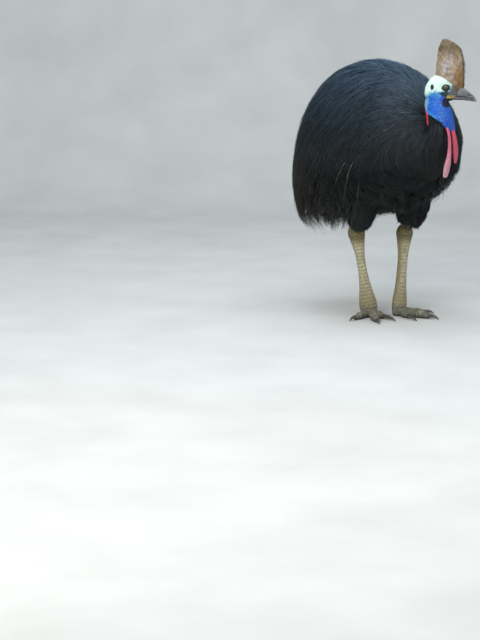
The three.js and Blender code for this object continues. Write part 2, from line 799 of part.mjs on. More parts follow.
// Legs and feet, each piece cut clear of what it grows from.
for (const [name, leg] of Object.entries(LEGS)) {
  const thigh = thighOf(leg);
  const clad = piece("thigh_" + name, thigh().subtract(bodyGrown), "plumage", { beside: [front, rear] });
  piece("shank_" + name, shank(leg).subtract(thigh(GAP)).intersect(floor()), "leg", { beside: [clad] });
  let above = shank(leg, GAP);
  for (const [toeName, size] of Object.entries(TOES)) {
    const made = toe(leg, size).subtract(above).subtract(claw(leg, size, GAP)).intersect(floor());
    piece(["toe", toeName, name].join("_"), made, "leg");
    piece(["claw", toeName, name].join("_"), claw(leg, size).intersect(floor()), "claw");
    above = above.add(toe(leg, size, GAP));
  }
}

// The whole bird stands over its own origin: middle of its box, soles at zero.
const box = new THREE.Box3().setFromObject(root);
const middle = box.getCenter(vector(0, 0, 0));
root.position.set(-Math.round(middle.x), -Math.round(middle.y), -box.min.z);
const bird = new THREE.Group();
bird.add(root);

export default bird;
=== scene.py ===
"""A southern cassowary that stands still and looks aside, life size, in metres with +Z up."""

import math

import bpy
import numpy as np
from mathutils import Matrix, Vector


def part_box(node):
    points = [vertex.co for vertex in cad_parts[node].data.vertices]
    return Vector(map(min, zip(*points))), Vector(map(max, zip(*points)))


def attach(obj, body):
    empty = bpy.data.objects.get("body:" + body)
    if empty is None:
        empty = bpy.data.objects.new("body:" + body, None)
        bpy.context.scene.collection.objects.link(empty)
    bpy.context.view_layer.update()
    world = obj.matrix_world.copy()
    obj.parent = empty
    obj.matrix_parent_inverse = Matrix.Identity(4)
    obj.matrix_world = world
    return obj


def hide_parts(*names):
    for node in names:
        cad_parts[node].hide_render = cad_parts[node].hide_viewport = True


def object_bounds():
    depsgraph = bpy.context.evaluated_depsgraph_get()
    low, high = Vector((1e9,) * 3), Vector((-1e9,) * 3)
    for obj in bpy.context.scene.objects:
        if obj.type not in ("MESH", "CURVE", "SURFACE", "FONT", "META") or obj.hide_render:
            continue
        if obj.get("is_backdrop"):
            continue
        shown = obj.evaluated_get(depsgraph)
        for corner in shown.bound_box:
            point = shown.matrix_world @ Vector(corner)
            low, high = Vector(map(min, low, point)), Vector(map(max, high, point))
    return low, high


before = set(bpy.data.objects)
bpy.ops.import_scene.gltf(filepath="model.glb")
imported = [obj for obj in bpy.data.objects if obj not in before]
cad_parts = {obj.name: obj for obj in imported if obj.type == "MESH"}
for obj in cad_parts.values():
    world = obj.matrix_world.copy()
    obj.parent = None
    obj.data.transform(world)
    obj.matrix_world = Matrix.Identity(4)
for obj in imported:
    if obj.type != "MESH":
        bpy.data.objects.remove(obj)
cad_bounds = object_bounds()
rng = np.random.default_rng(11)


# Skin: one closed surface from the head down to the toes. The body, lower neck and thighs lie as
# deep under the feathers as in life. The head and upper neck are fine enough for folds and lids,
# and the shanks and toes carry raised scutes.
MM = 0.001
HEAD_PLACE = np.array([0.030, -0.366, 0.985])
HEAD_TURN = math.radians(46)
eyes = [np.array(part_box(name)) for name in ("eye_right", "eye_left")]
SHIFT = np.mean([box.mean(axis=0) for box in eyes], axis=0) - HEAD_PLACE

COAT_FRONT = -0.385
COAT_REAR = 0.500
# Outline of the coat along the body: place, half width, top, widest level, bottom.
COAT = np.array([
    [-385, 175, 960, 770, 665],
    [-300, 212, 1025, 770, 600],
    [-200, 240, 1062, 755, 495],
    [-60, 266, 1080, 720, 440],
    [90, 282, 1074, 685, 425],
    [240, 280, 1032, 625, 345],
    [370, 250, 965, 560, 275],
    [500, 205, 830, 500, 255],
]) * MM
COAT_ROUNDING = 3.2
CHEST_LEAN = 0.28
SKIN_DEPTH = 0.036
SKIN_BELLY = 0.050
SKIN_RUMP = 0.090
# How much of the coat's lower edge is loose tips, under the belly and behind under the rump.
COAT_FRINGE = 0.026
RUMP_FRINGE = 0.092
# Middle line of the neck with its half width and half depth.
NECK_LINE = np.array([
    [0, -230, 640, 84, 88],
    [-1, -325, 720, 82, 78],
    [-2, -372, 790, 62, 60],
    [-5, -370, 845, 51, 62],
    [2, -345, 895, 46, 64],
    [6, -339, 945, 40, 56],
    [10, -342, 975, 30, 44],
]) * MM
# The plumage's upper edge: its height from the throat (-1) towards the nape (1), and its dip there.
FEATHER_EDGE = {
    "behind": [-1.0, -0.7, -0.3, 0.35],
    "height": [0.812, 0.820, 0.852, 0.876],
    "nape": 0.064,
}
NAPE = (-0.60, 0.80)
UPPER_NECK_FROM = 0.38
LOWER_NECK_TO = 0.55
EDGE_INSET = 0.010
NECK_DEPTH = 0.009
THIGH_DEPTH = 0.018
# Outline of the head along its length: forward, half width, top, widest level, bottom.
HEAD = np.array([
    [-86, 26, 20, -22, -64],
    [-60, 29, 42, -14, -66],
    [-30, 30, 50, -8, -64],
    [5, 27, 42, -6, -58],
    [35, 23, 22, -14, -52],
    [66, 17, 0, -24, -50],
]) * MM
EYE_X = 0.0205
EYE_RADIUS = 0.012
LID = {"length": 0.0100, "height": 0.0078, "width": 0.0030, "lift": 0.0016}
EAR = {"forward": -0.054, "up": -0.001, "length": 0.0072, "height": 0.0115, "depth": 0.007}
GAPE = {"from": 0.004, "up": -0.0385}
FOLD_GRID = 0.00165
LEGS = {
    "right": {"hip": [-120, -7, 560], "knee": [-122, -12, 470], "hock": [-105, 53, 357],
              "foot": [-48, 25, -6], "side": -1},
    "left": {"hip": [118, -12, 560], "knee": [112, -50, 470], "hock": [95, -15, 350],
             "foot": [66, -20, -6], "side": 1},
}
# The shank from the hock to the pad: share of its length, half width, half depth.
SHANK = np.array([
    [0, 29, 31], [70, 38, 37], [170, 30, 30], [310, 19.5, 22], [520, 18.5, 21], [700, 27, 24],
    [810, 36, 28], [900, 39, 29], [1000, 36, 28],
]) * MM
UNDER_SCUTES = 0.985
SHANK[:, 1:] *= UNDER_SCUTES
BEYOND_HOCK = -0.1
SCUTE_ROWS = 27
# Half width of the feathered thighs from the hip down to just above the hock.
TROUSERS = {"right": np.array([68, 66, 60, 44]) * MM, "left": np.array([84, 79, 66, 48]) * MM}
TROUSERS_END = 0.026
TOE_OUT = 25
# Each toe: turn outwards in degrees, length, radius, claw length, claw radius.
TOES = {
    "inner": [-32, 0.062, 0.017, 0.076, 0.0110],
    "middle": [0, 0.128, 0.019, 0.046, 0.0100],
    "outer": [44, 0.096, 0.016, 0.042, 0.0085],
}
# Along a toe: share of its length, height of its middle and half thickness, in its own radius.
TOE = np.array([[0, 1.25, 0.95], [0.3, 1.1, 0.92], [0.65, 0.85, 0.92], [1, 0.68, 0.80]])
TOE_ROOT = 0.020
TOE_RING = 0.0085
SOLE = 0.0004

MINT = (0.58, 0.75, 0.66)
MINT_DULL = (0.200, 0.300, 0.230)
PALE_CYAN = (0.080, 0.330, 0.560)
BLUE = (0.004, 0.085, 0.420)
DEEP_BLUE = (0.003, 0.030, 0.210)
INDIGO_AND_JAW_SHADE = (0.002, 0.005, 0.022)
TEAL_DARK = (0.010, 0.035, 0.050)
RED = (0.500, 0.030, 0.040)
GAPE_YELLOW = (0.50, 0.34, 0.05)
HORN_FOOT = (0.085, 0.050, 0.024)
LORE_GREY = (0.085, 0.100, 0.105)
LID_DARK = (0.012, 0.020, 0.016)
LEG_KHAKI = (0.270, 0.225, 0.125)
LEG_OLIVE = (0.085, 0.072, 0.022)
LEG_OCHRE = (0.240, 0.150, 0.040)
LEG_PALE = (0.500, 0.450, 0.310)
TOE_GREY = (0.160, 0.150, 0.115)
TOE_PALE = (0.330, 0.290, 0.200)
TOE_DARK = (0.035, 0.031, 0.022)
UNDER_COAT = (0.005, 0.006, 0.006)


def smoothstep(value, low, high):
    share = np.clip((np.asarray(value, float) - low) / (high - low), 0, 1)
    return share * share * (3 - 2 * share)


def lerp(a, b, share):
    return a + (b - a) * share


def unit(v):
    return v / np.maximum(np.linalg.norm(v, axis=-1, keepdims=True), 1e-12)


def smooth(rows):
    """Smooth values between the rows of a table whose first column is the place."""
    rows = np.asarray(rows, float)
    places, values = rows[:, 0], rows[:, 1:]
    slopes = np.gradient(values, places, axis=0)

    def at(place):
        place = np.clip(np.asarray(place, float), places[0], places[-1])
        i = np.clip(np.searchsorted(places, place, side="right") - 1, 0, len(places) - 2)
        run = (places[i + 1] - places[i])[..., None]
        t = (place - places[i])[..., None] / run
        a, b = values[i], values[i + 1]
        u, v = slopes[i] * run, slopes[i + 1] * run
        return (2 * t**3 - 3 * t**2 + 1) * a + (t**3 - 2 * t**2 + t) * u + (3 * t**2 - 2 * t**3) * b + (
            t**3 - t**2
        ) * v

    return at


def rounding(s, power):
    return np.maximum(0, 1 - np.abs(s) ** power) ** (1 / power)


def limb(points, sizes, hint, power=6):
    """The surface of a limb along a curve: place(t, angle, lift), with t and angle as arrays."""
    points = np.asarray(points, float)
    ends = np.vstack([2 * points[0] - points[1], points, 2 * points[-1] - points[-2]])
    line = []
    for i in range(1, len(ends) - 2):
        t = np.linspace(0, 1, 60)[:, None]
        a, b, c, d = ends[i - 1:i + 3]
        line.append(0.5 * (2 * b + (c - a) * t + (2 * a - 5 * b + 4 * c - d) * t**2
                           + (3 * b - a - 3 * c + d) * t**3)[: 60 if i == len(ends) - 3 else 59])
    line = np.vstack(line)
    along = np.concatenate([[0], np.cumsum(np.linalg.norm(np.diff(line, axis=0), axis=1))])
    share = along / along[-1]
    tangents = unit(np.gradient(line, share, axis=0))
    size_at = smooth(sizes)
    hint = np.asarray(hint, float)

    def place(t, angle, lift=0.0):
        t, angle = np.broadcast_arrays(np.asarray(t, float), np.asarray(angle, float))
        middle = np.stack([np.interp(t, share, line[:, k]) for k in range(3)], -1)
        tangent = unit(np.stack([np.interp(t, share, tangents[:, k]) for k in range(3)], -1))
        across = unit(hint - tangent * (tangent @ hint)[..., None])
        deep = np.cross(tangent, across)
        size = size_at(t)
        roundness = rounding(2 * t - 1, power)
        wide = ((size[..., 0] + lift) * roundness * np.cos(angle))[..., None]
        depth = ((size[..., 1] + lift) * roundness * np.sin(angle))[..., None]
        return middle + across * wide + deep * depth

    return place


def eased(count):
    """Shares from 0 to 1 in steps that are smaller towards both ends."""
    return (1 - np.cos(np.linspace(0, math.pi, count + 1))) / 2


def closed(name, sides, at, shares):
    """A closed mesh from rings of points, its first and last rings drawn to one point each."""
    angles = np.linspace(0, 2 * math.pi, sides, endpoint=False)
    grid = at(shares[:, None], angles[None, :])
    inner = grid[1:-1].reshape(-1, 3)
    poles = np.array([grid[0].mean(axis=0), grid[-1].mean(axis=0)])
    rows = len(shares) - 2
    index = np.arange(rows * sides).reshape(rows, sides)
    after = np.roll(index, -1, axis=1)
    quads = np.stack([index[:-1], after[:-1], after[1:], index[1:]], -1).reshape(-1, 4)
    first, last = rows * sides, rows * sides + 1
    caps = [[first, after[0, k], index[0, k]] for k in range(sides)]
    caps += [[last, index[-1, k], after[-1, k]] for k in range(sides)]
    return mesh_object(name, np.vstack([inner, poles]), quads.tolist() + caps)


def mesh_object(name, points, faces):
    mesh = bpy.data.meshes.new(name)
    mesh.from_pydata(np.asarray(points, float).tolist(), [], faces)
    mesh.update()
    made = bpy.data.objects.new(name, mesh)
    bpy.context.scene.collection.objects.link(made)
    if volume(made) < 0:
        mesh.flip_normals()
    mesh.shade_smooth()
    return made


def points_of(piece):
    points = np.empty(len(piece.data.vertices) * 3)
    piece.data.vertices.foreach_get("co", points)
    return points.reshape(-1, 3)


def normals_of(piece):
    normals = np.empty(len(piece.data.vertices) * 3)
    piece.data.vertex_normals.foreach_get("vector", normals)
    return normals.reshape(-1, 3)


def set_points(piece, points):
    piece.data.vertices.foreach_set("co", np.asarray(points, float).ravel())
    piece.data.update()


def volume(piece):
    piece.data.calc_loop_triangles()
    corners = np.empty(len(piece.data.loop_triangles) * 3, np.int32)
    piece.data.loop_triangles.foreach_get("vertices", corners)
    a, b, c = points_of(piece)[corners.reshape(-1, 3)].transpose(1, 0, 2)
    return float(np.einsum("ij,ij->i", a, np.cross(b, c)).sum() / 6)


def settled(piece):
    """The piece with its modifiers made final."""
    depsgraph = bpy.context.evaluated_depsgraph_get()
    made = bpy.data.meshes.new_from_object(piece.evaluated_get(depsgraph))
    old = piece.data
    piece.modifiers.clear()
    piece.data = made
    bpy.data.meshes.remove(old)
    return piece


def united(piece, other):
    union = piece.modifiers.new("union", "BOOLEAN")
    union.operation = "UNION"
    union.solver = "MANIFOLD"
    union.object = other
    settled(piece)
    bpy.data.objects.remove(other)
    return piece


def grain(points, size, seed):
    """Smooth noise from -1 to 1 with features of a given size."""
    waves = np.random.default_rng(seed)
    turn = unit(waves.normal(size=(14, 3))) * (2 * math.pi / size) * waves.uniform(0.6, 1.5, (14, 1))
    shift = waves.uniform(0, 2 * math.pi, 14)
    return np.sin(points @ turn.T + shift).sum(axis=1) / 5.3


def in_head(points):
    """Places in the head's own frame: aside, backward, up from between the eyes."""
    away = np.asarray(points) - SHIFT - HEAD_PLACE
    c, s = math.cos(HEAD_TURN), math.sin(HEAD_TURN)
    return np.stack([away[..., 0] * c + away[..., 1] * s, away[..., 1] * c - away[..., 0] * s,
                     away[..., 2]], -1)


def from_head(points):
    c, s = math.cos(HEAD_TURN), math.sin(HEAD_TURN)
    points = np.asarray(points)
    turned = np.stack([points[..., 0] * c - points[..., 1] * s, points[..., 0] * s + points[..., 1] * c,
                       points[..., 2]], -1)
    return turned + HEAD_PLACE + SHIFT


coat_at = smooth(COAT)


def body_surface(depth, belly, rump):
    def at(share, angle):
        s = 2 * share - 1
        y = lerp(COAT_FRONT + depth, COAT_REAR - depth, share) + 0 * angle
        wide, top, level, bottom = np.moveaxis(coat_at(y), -1, 0)
        bottom = bottom + belly + rump * smoothstep(y, 0.15, 0.42)
        roundness = rounding(s, COAT_ROUNDING)
        up = np.cos(angle)
        rise = np.where(up > 0, top - depth - level, level - bottom - depth) * roundness * up
        back = CHEST_LEAN * rise * (1 - s) / 2
        across = (wide - depth) * roundness * np.sin(angle)
        return np.stack(np.broadcast_arrays(across, y + back, level + rise), -1) + SHIFT

    return at


def coat_reach(points):
    """How far out places lie in the coat: 1 on the outline that its feathers follow."""
    x, y, z = np.moveaxis(points - SHIFT, -1, 0)
    place = y
    for _ in range(3):
        share = np.clip(2 * (place - COAT_FRONT) / (COAT_REAR - COAT_FRONT) - 1, -1, 1)
        place = y - CHEST_LEAN * (z - coat_at(place)[..., 2]) * (1 - share) / 2
    s = 2 * (place - COAT_FRONT) / (COAT_REAR - COAT_FRONT) - 1
    roundness = np.maximum(rounding(np.clip(s, -1, 1), COAT_ROUNDING), 0.02)
    wide, top, level, bottom = np.moveaxis(coat_at(place), -1, 0)
    bottom = bottom + COAT_FRINGE + RUMP_FRINGE * smoothstep(place, 0.12, 0.40)
    reach = np.where(z > level, top - level, level - bottom)
    return np.where(np.abs(s) < 1, np.hypot(x / wide, (z - level) / reach) / roundness, 9.0)


neck_sizes = np.column_stack([np.linspace(0, 1, len(NECK_LINE)), NECK_LINE[:, 3:]])
neck_place = limb(NECK_LINE[:, :3] + SHIFT, neck_sizes, [1, 0.35, 0])


def feather_edge(points):
    """How far places are below the plumage's upper edge around the neck, which dips at the nape."""
    x, y, z = np.moveaxis(points - SHIFT, -1, 0)
    line_x, line_y = (np.interp(z, NECK_LINE[:, 2], NECK_LINE[:, k]) for k in (0, 1))
    radius = np.interp(z, NECK_LINE[:, 2], NECK_LINE[:, 4])
    behind = ((x - line_x) * NAPE[0] + (y - line_y) * NAPE[1]) / radius
    edge = np.interp(behind, FEATHER_EDGE["behind"], FEATHER_EDGE["height"])
    return edge - FEATHER_EDGE["nape"] * smoothstep(behind, 0.50, 0.72) - z, behind


def trousers_place(leg):
    hip, knee, hock = (np.array(leg[name]) * MM for name in ("hip", "knee", "hock"))
    end = hock + unit(knee - hock) * TROUSERS_END
    sizes = TROUSERS["right" if leg["side"] < 0 else "left"]
    rows = np.column_stack([[0, 0.35, 0.7, 1], sizes, sizes])
    return limb(np.array([hip, (hip + knee) / 2, knee, end]) + SHIFT, rows, [leg["side"], 0, 0])


def shank_place(leg):
    top, end = np.array(leg["hock"]) * MM, np.array(leg["foot"]) * MM
    points = [lerp(top, end, BEYOND_HOCK), top, lerp(top, end, 0.5), end]
    return limb(np.array(points) + SHIFT, SHANK, [1, leg["side"] * math.tan(math.radians(TOE_OUT)), 0])


def toe_line(leg, size):
    """A toe's heading, and the places on the floor under its root and its end."""
    heading = math.radians(leg["side"] * (TOE_OUT + size[0]))
    ahead = np.array([math.sin(heading), -math.cos(heading), 0])
    start = np.array(leg["foot"]) * MM + SHIFT
    start[2] = 0
    return ahead, start, start + ahead * (size[1] + TOE_ROOT)


def scaled(t, angle, rows, columns, height):
    """How far rows of domed scales, set like bricks, stand above the skin."""
    row = t * rows
    column = angle / (2 * math.pi) * columns + 0.5 * (np.floor(row) % 2)
    dome = np.abs(np.sin(math.pi * row)) * np.abs(np.sin(math.pi * column))
    return height * np.clip(dome * 2.2, 0, 1) ** 0.6


def plates(t, rows, height):
    """How far broad scutes stand above the skin, each lapping over the next one's upper edge."""
    row = t * rows % 1
    return height * (0.35 + 0.65 * row) * np.clip((1 - row) * 6, 0, 1) ** 0.5


def above_floor(points, lowest):
    return np.concatenate([points[..., :2], np.maximum(points[..., 2:], lowest)], -1)


def shank_at(place):
    def at(t, angle):
        front = smoothstep(np.sin(angle), 0.10, 0.40)
        small = scaled(t, angle, 46, 20, 0.0011)
        lift = front * plates(t, SCUTE_ROWS, 0.0022) + (1 - front) * small
        return above_floor(place(t, angle, lift), SOLE)

    return at


def toe_at(leg, size):
    ahead, start, tip = toe_line(leg, size)
    radius = size[2]
    points = [lerp(start, tip, share) + [0, 0, height * radius] for share, height, _ in TOE]
    sizes = np.column_stack([TOE[:, 0], TOE[:, 2] * radius, TOE[:, 2] * radius])
    place = limb(points, sizes, [ahead[1], -ahead[0], 0])
    rows = round(size[1] / TOE_RING)

    def at(t, angle):
        top = smoothstep(-np.sin(angle), 0.15, 0.5)
        small = scaled(t, angle, rows * 1.8, 12, 0.0009)
        pads = 0.0019 * np.sin(2 * math.pi * (t * 3 + 0.15)) - 0.0012
        lift = top * plates(t, rows, 0.0018) + (1 - top) * small + pads
        return above_floor(place(t, angle, lift), SOLE)

    return at


def head_surface(share, angle):
    s = 2 * share - 1
    forward = lerp(HEAD[0, 0], HEAD[-1, 0], share) + 0 * angle
    wide, top, level, bottom = np.moveaxis(smooth(HEAD)(forward), -1, 0)
    roundness = rounding(s, 3)
    up = np.cos(angle)
    rise = np.where(up > 0, top - level, level - bottom) * roundness * up
    across = wide * roundness * np.sin(angle)
    return from_head(np.stack(np.broadcast_arrays(across, -forward, level + rise), -1))


# The head and upper neck are fused, then folded, pitted at the ears and creased at the mouth.
skin = closed("skin", 72, head_surface, eased(70))


def upper_neck_at(share, angle):
    t = UPPER_NECK_FROM + 0.60 * share
    below, _ = feather_edge(neck_place(t, angle))
    return neck_place(t, angle, -EDGE_INSET * smoothstep(below, -0.002, 0.010))


skin = united(skin, closed("upper_neck", 80, upper_neck_at, eased(70)))
fused = skin.modifiers.new("fused", "REMESH")
fused.mode = "VOXEL"
fused.voxel_size = FOLD_GRID
fused.use_smooth_shade = True
soft = skin.modifiers.new("soft", "SMOOTH")
soft.factor = 0.5
soft.iterations = 5
settled(skin)
places, normals = points_of(skin), normals_of(skin)
aside, back, up = in_head(places).T
forward = -back
on_neck = smoothstep(up, -0.045, -0.075)
wrinkle = np.sin(2 * math.pi * (up / 0.0065 + 1.1 * grain(places, 0.045, 3) + 0.5 * grain(places, 0.016, 4)))
folds = 0.00065 * wrinkle * np.clip(0.4 + grain(places, 0.03, 5), 0, 1) * on_neck
pebbles = 0.00045 * np.clip(grain(places, 0.0068, 6), -0.2, 1) * smoothstep(up, 0.015, -0.02)
crown = 0.00018 * grain(places, 0.005, 7)
ear_out = np.hypot((forward - EAR["forward"]) / EAR["length"], (up - EAR["up"]) / EAR["height"])
ear = -EAR["depth"] * smoothstep(ear_out, 1.15, 0.35) + 0.0012 * np.exp(-((ear_out - 1.6) / 0.35) ** 2)
at_side = smoothstep(np.abs(aside), 0.012, 0.02)
mouth = np.exp(-((up - GAPE["up"]) / 0.0016) ** 2) * smoothstep(forward, GAPE["from"], GAPE["from"] + 0.006)
lips = 0.0014 * np.exp(-((np.abs(up - GAPE["up"]) - 0.0035) / 0.002) ** 2)
lips = lips * smoothstep(forward, GAPE["from"] - 0.004, GAPE["from"] + 0.006) * (forward < 0.06)
socket = np.hypot(forward / 0.019, up / 0.015)
hollow = -0.0012 * np.exp(-((socket - 1) / 0.28) ** 2)
lift = folds + pebbles + crown + at_side * (ear - 0.0022 * mouth + lips + hollow)
set_points(skin, places + normals * lift[:, None])

# The lids are rings of thick skin around each eye, drawn to an almond.
for side in (-1, 1):
    def lid(share, angle, side=side):
        ring = 2 * math.pi * share
        almond = 1 + 0.10 * np.abs(np.cos(ring)) ** 6
        out = 1 + LID["width"] / LID["length"] * 0.55 * (1 + np.cos(angle))
        f = LID["length"] * almond * np.cos(ring) * out
        u = LID["height"] * np.sin(ring) * out + 0.0004
        reach = np.sqrt(np.maximum((EYE_RADIUS + 0.0006) ** 2 - f**2 - u**2, 0))
        thick = LID["lift"] * np.sin(angle) - 0.0016 * (np.cos(angle) > 0) * np.cos(angle)
        crease = 0.00035 * np.sin(5 * angle) * (np.sin(ring) > 0.2)
        x = side * (EYE_X + reach + thick + crease)
        return from_head(np.stack(np.broadcast_arrays(x, -f, u), -1))

    shares = np.linspace(0, 1, 73)[:-1]
    angles = np.linspace(0, 2 * math.pi, 20, endpoint=False)
    points = lid(shares[:, None], angles[None, :]).reshape(-1, 3)
    index = np.arange(72 * 20).reshape(72, 20)
    ring_after, turn_after = np.roll(index, -1, axis=0), np.roll(index, -1, axis=1)
    both = np.roll(ring_after, -1, axis=1)
    faces = np.stack([index, turn_after, both, ring_after], -1).reshape(-1, 4)
    skin = united(skin, mesh_object("lid", points, faces.tolist()))


def lower_neck_at(share, angle):
    return neck_place(share * LOWER_NECK_TO, angle, -NECK_DEPTH)


def thigh_at(place):
    return lambda share, angle: place(share * 0.98, angle, -THIGH_DEPTH)


skin = united(skin, closed("lower_neck", 40, lower_neck_at, eased(30)))
skin = united(skin, closed("body", 84, body_surface(SKIN_DEPTH, SKIN_BELLY, SKIN_RUMP), eased(84)))
shank_shares = np.concatenate([[0], np.linspace(0.004, 0.996, 196), [1]])
toe_shares = np.concatenate([[0], np.linspace(0.01, 0.99, 54), [1]])
for leg in LEGS.values():
    skin = united(skin, closed("thigh", 36, thigh_at(trousers_place(leg)), eased(34)))
    skin = united(skin, closed("shank", 68, shank_at(shank_place(leg)), shank_shares))
    for size in TOES.values():
        skin = united(skin, closed("toe", 30, toe_at(leg, size), toe_shares))
skin.name = "skin"
skin.data.shade_smooth()


def mixed(base, colour, share):
    return base + (np.array(colour) - base) * np.clip(share, 0, 1)[:, None]


def note(mesh, key, values):
    """One number for each point of a mesh, for its material to read."""
    mesh.attributes.new(key, "FLOAT", "POINT").data.foreach_set("value", values.astype(np.float32))


def paint(piece, colour):
    """One colour for each point of a piece, for its material to read."""
    marking = piece.data.attributes.new("marking", "FLOAT_COLOR", "POINT")
    full = np.column_stack([colour, np.ones(len(colour))])
    marking.data.foreach_set("color", full.astype(np.float32).ravel())


# Markings of the skin: pale mint crown and cheek, blue neck, red nape, dark chin that is partly painted shade under
# the jaw, khaki legs.
places = points_of(skin)
aside, back, up = in_head(places).T
forward = -back
height = places[:, 2] - SHIFT[2]
rough = grain(places, 0.02, 21)
fine = grain(places, 0.006, 22)
colour = np.tile(np.array(BLUE), (len(places), 1))
below, behind = feather_edge(places)
lit = np.clip(0.5 + 0.5 * fine, 0, 1)
colour = mixed(colour, PALE_CYAN, 0.36 * smoothstep(grain(places, 0.010, 23), 0.0, 0.9))
colour = mixed(colour, DEEP_BLUE, 0.6 * smoothstep(grain(places * [1, 1, 0.6], 0.009, 24), 0.1, 0.9))
colour = mixed(colour, DEEP_BLUE, 0.40 * smoothstep(behind, -0.2, -0.8))
hollow = smoothstep(below, -0.020, -0.006) * smoothstep(behind, -0.4, 0.1)
colour = mixed(colour, PALE_CYAN, 0.5 * hollow * lerp(0.5, 1.0, lit))
nape = smoothstep(behind + 0.05 * rough, 0.35, 0.78)
colour = mixed(colour, PALE_CYAN, nape * lerp(0.55, 1.0, lit))
colour = mixed(colour, MINT, 0.7 * nape * smoothstep(up, -0.125, -0.055) * lit)
line = -0.019 - 0.45 * np.clip(-forward - 0.045, 0, 0.06) - 0.10 * np.clip(forward, -0.03, 0.02)
colour = mixed(colour, PALE_CYAN, 0.8 * smoothstep(up - line + 0.008 * fine, -0.024, -0.004))
colour = mixed(colour, MINT, smoothstep(up - line + 0.003 * rough + 0.003 * fine, -0.008, 0.007))
rim = smoothstep(forward + 0.75 * up, 0.012, 0.034) * smoothstep(up, 0.004, 0.016)
colour = mixed(colour, MINT_DULL, 0.85 * rim)
red_edge = behind - 8.0 * np.clip(height - 0.872, 0, 1)
red = smoothstep(red_edge, 0.42, 0.52) * smoothstep(height + 0.003 * rough, 0.936, 0.922)
colour = mixed(colour, RED, red)
under_eye = np.hypot((forward + 0.001) / 0.022, (up + 0.027) / 0.0125) + 0.14 * rough
colour = mixed(colour, TEAL_DARK, smoothstep(under_eye, 1.15, 0.8))
lore = smoothstep(forward - 0.35 * np.clip(up, -0.05, 0.02) + 0.002 * rough, 0.013, 0.026)
lore = lore * smoothstep(up, -0.075, -0.055) * smoothstep(up, 0.020, 0.004)
colour = mixed(colour, LORE_GREY, lore)
# The dark chin patch is partly the skin's own dark colour and partly painted shade under the jaw.
chin_and_jaw_shade = np.hypot((forward - 0.008) / 0.021, (up + 0.059) / 0.0195) + 0.14 * rough
colour = mixed(colour, INDIGO_AND_JAW_SHADE, smoothstep(chin_and_jaw_shade, 1.15, 0.85))
horn_foot = smoothstep(forward + 0.4 * up, 0.028, 0.038) * smoothstep(up, -0.026, -0.014)
colour = mixed(colour, HORN_FOOT, 0.85 * horn_foot)
around = np.hypot((forward - 0.0015) / 0.0185, (up + 0.002) / 0.0150) + 0.08 * fine
colour = mixed(colour, LID_DARK, smoothstep(around, 1.15, 0.80) * smoothstep(np.abs(aside), 0.012, 0.018))
streak = np.exp(-((up - GAPE["up"]) / 0.0045) ** 2)
streak = streak * smoothstep(forward, GAPE["from"] - 0.002, GAPE["from"] + 0.004)
colour = mixed(colour, GAPE_YELLOW, 1.4 * streak * smoothstep(forward, 0.044, 0.030))
ear_out = np.hypot((forward - EAR["forward"]) / EAR["length"], (up - EAR["up"]) / EAR["height"])
colour = mixed(colour, LID_DARK, smoothstep(ear_out, 1.25, 0.7) * (np.abs(aside) > 0.01))
covered = np.maximum(smoothstep(below, -0.003, 0.004), smoothstep(coat_reach(places), 1.03, 0.98))
covered = covered * (up < -0.03)
covered = np.maximum(covered, places[:, 1] - SHIFT[1] > -0.245)
covered = np.clip(covered, 0, 1)
colour = mixed(colour, UNDER_COAT, covered)
bare_leg = smoothstep(height, 0.400, 0.388)
groove = np.zeros(len(places))
plated = np.zeros(len(places))
for leg in LEGS.values():
    top, end = np.array(leg["hock"]) * MM, np.array(leg["foot"]) * MM
    top = lerp(top, end, BEYOND_HOCK)
    axis = end - top
    near = (places - SHIFT - top) @ axis / (axis @ axis)
    away = places - SHIFT - top - near[:, None] * axis
    own = (np.linalg.norm(away, axis=1) < 0.06) & (height > 0.035)
    turn_out = leg["side"] * math.tan(math.radians(TOE_OUT))
    facing = unit(away) @ unit(np.array([turn_out, -1.0, 0.0]))
    front = smoothstep(facing, -0.15, 0.60)
    row = near * SCUTE_ROWS % 1
    line = np.maximum(smoothstep(row, 0.16, 0.02), smoothstep(row, 0.90, 0.99))
    groove = np.where(own, front * line, groove)
    plated = np.where(own, front, plated)
hock = smoothstep(height + 0.006 * rough, 0.300, 0.340)
leg_colour = np.tile(np.array(LEG_KHAKI), (len(places), 1))
pale = plated * (0.65 + 0.35 * rough) * smoothstep(height, 0.05, 0.19)
leg_colour = mixed(leg_colour, LEG_PALE, 0.85 * pale)
leg_colour = mixed(leg_colour, LEG_OLIVE, hock * (0.85 + 0.15 * fine))
leg_colour = mixed(leg_colour, LEG_OCHRE, 0.35 * hock * smoothstep(rough, 0.1, 0.7))
leg_colour = mixed(leg_colour, TOE_GREY, smoothstep(height + 0.01 * rough, 0.060, 0.030))
leg_colour = mixed(leg_colour, TOE_PALE, 0.6 * smoothstep(height, 0.060, 0.030) * smoothstep(rough, 0.0, 0.8))
leg_colour = mixed(leg_colour, TOE_DARK, 0.75 * smoothstep(height, 0.016, 0.004))
leg_colour = mixed(leg_colour, TOE_DARK, 0.50 * smoothstep(grain(places, 0.0045, 25), 0.3, 0.9))
leg_colour = mixed(leg_colour, TOE_DARK, 0.55 * groove)
for leg in LEGS.values():
    for size in TOES.values():
        ahead, start, tip = toe_line(leg, size)
        run = (places - start) @ ahead
        beside = np.linalg.norm((places - start - run[:, None] * ahead)[:, :2], axis=1)
        own = (beside < size[2]) & (height < 0.045) & (run > 0.030)
        ring = np.abs(np.sin(math.pi * run / TOE_RING)) < 0.30
        leg_colour = mixed(leg_colour, TOE_DARK, 0.65 * own * ring)
colour = lerp(colour, leg_colour, bare_leg[:, None])
paint(skin, colour)
note(skin.data, "dull", lerp(0.50 + 0.08 * bare_leg, 0.95, covered * (1 - bare_leg)))


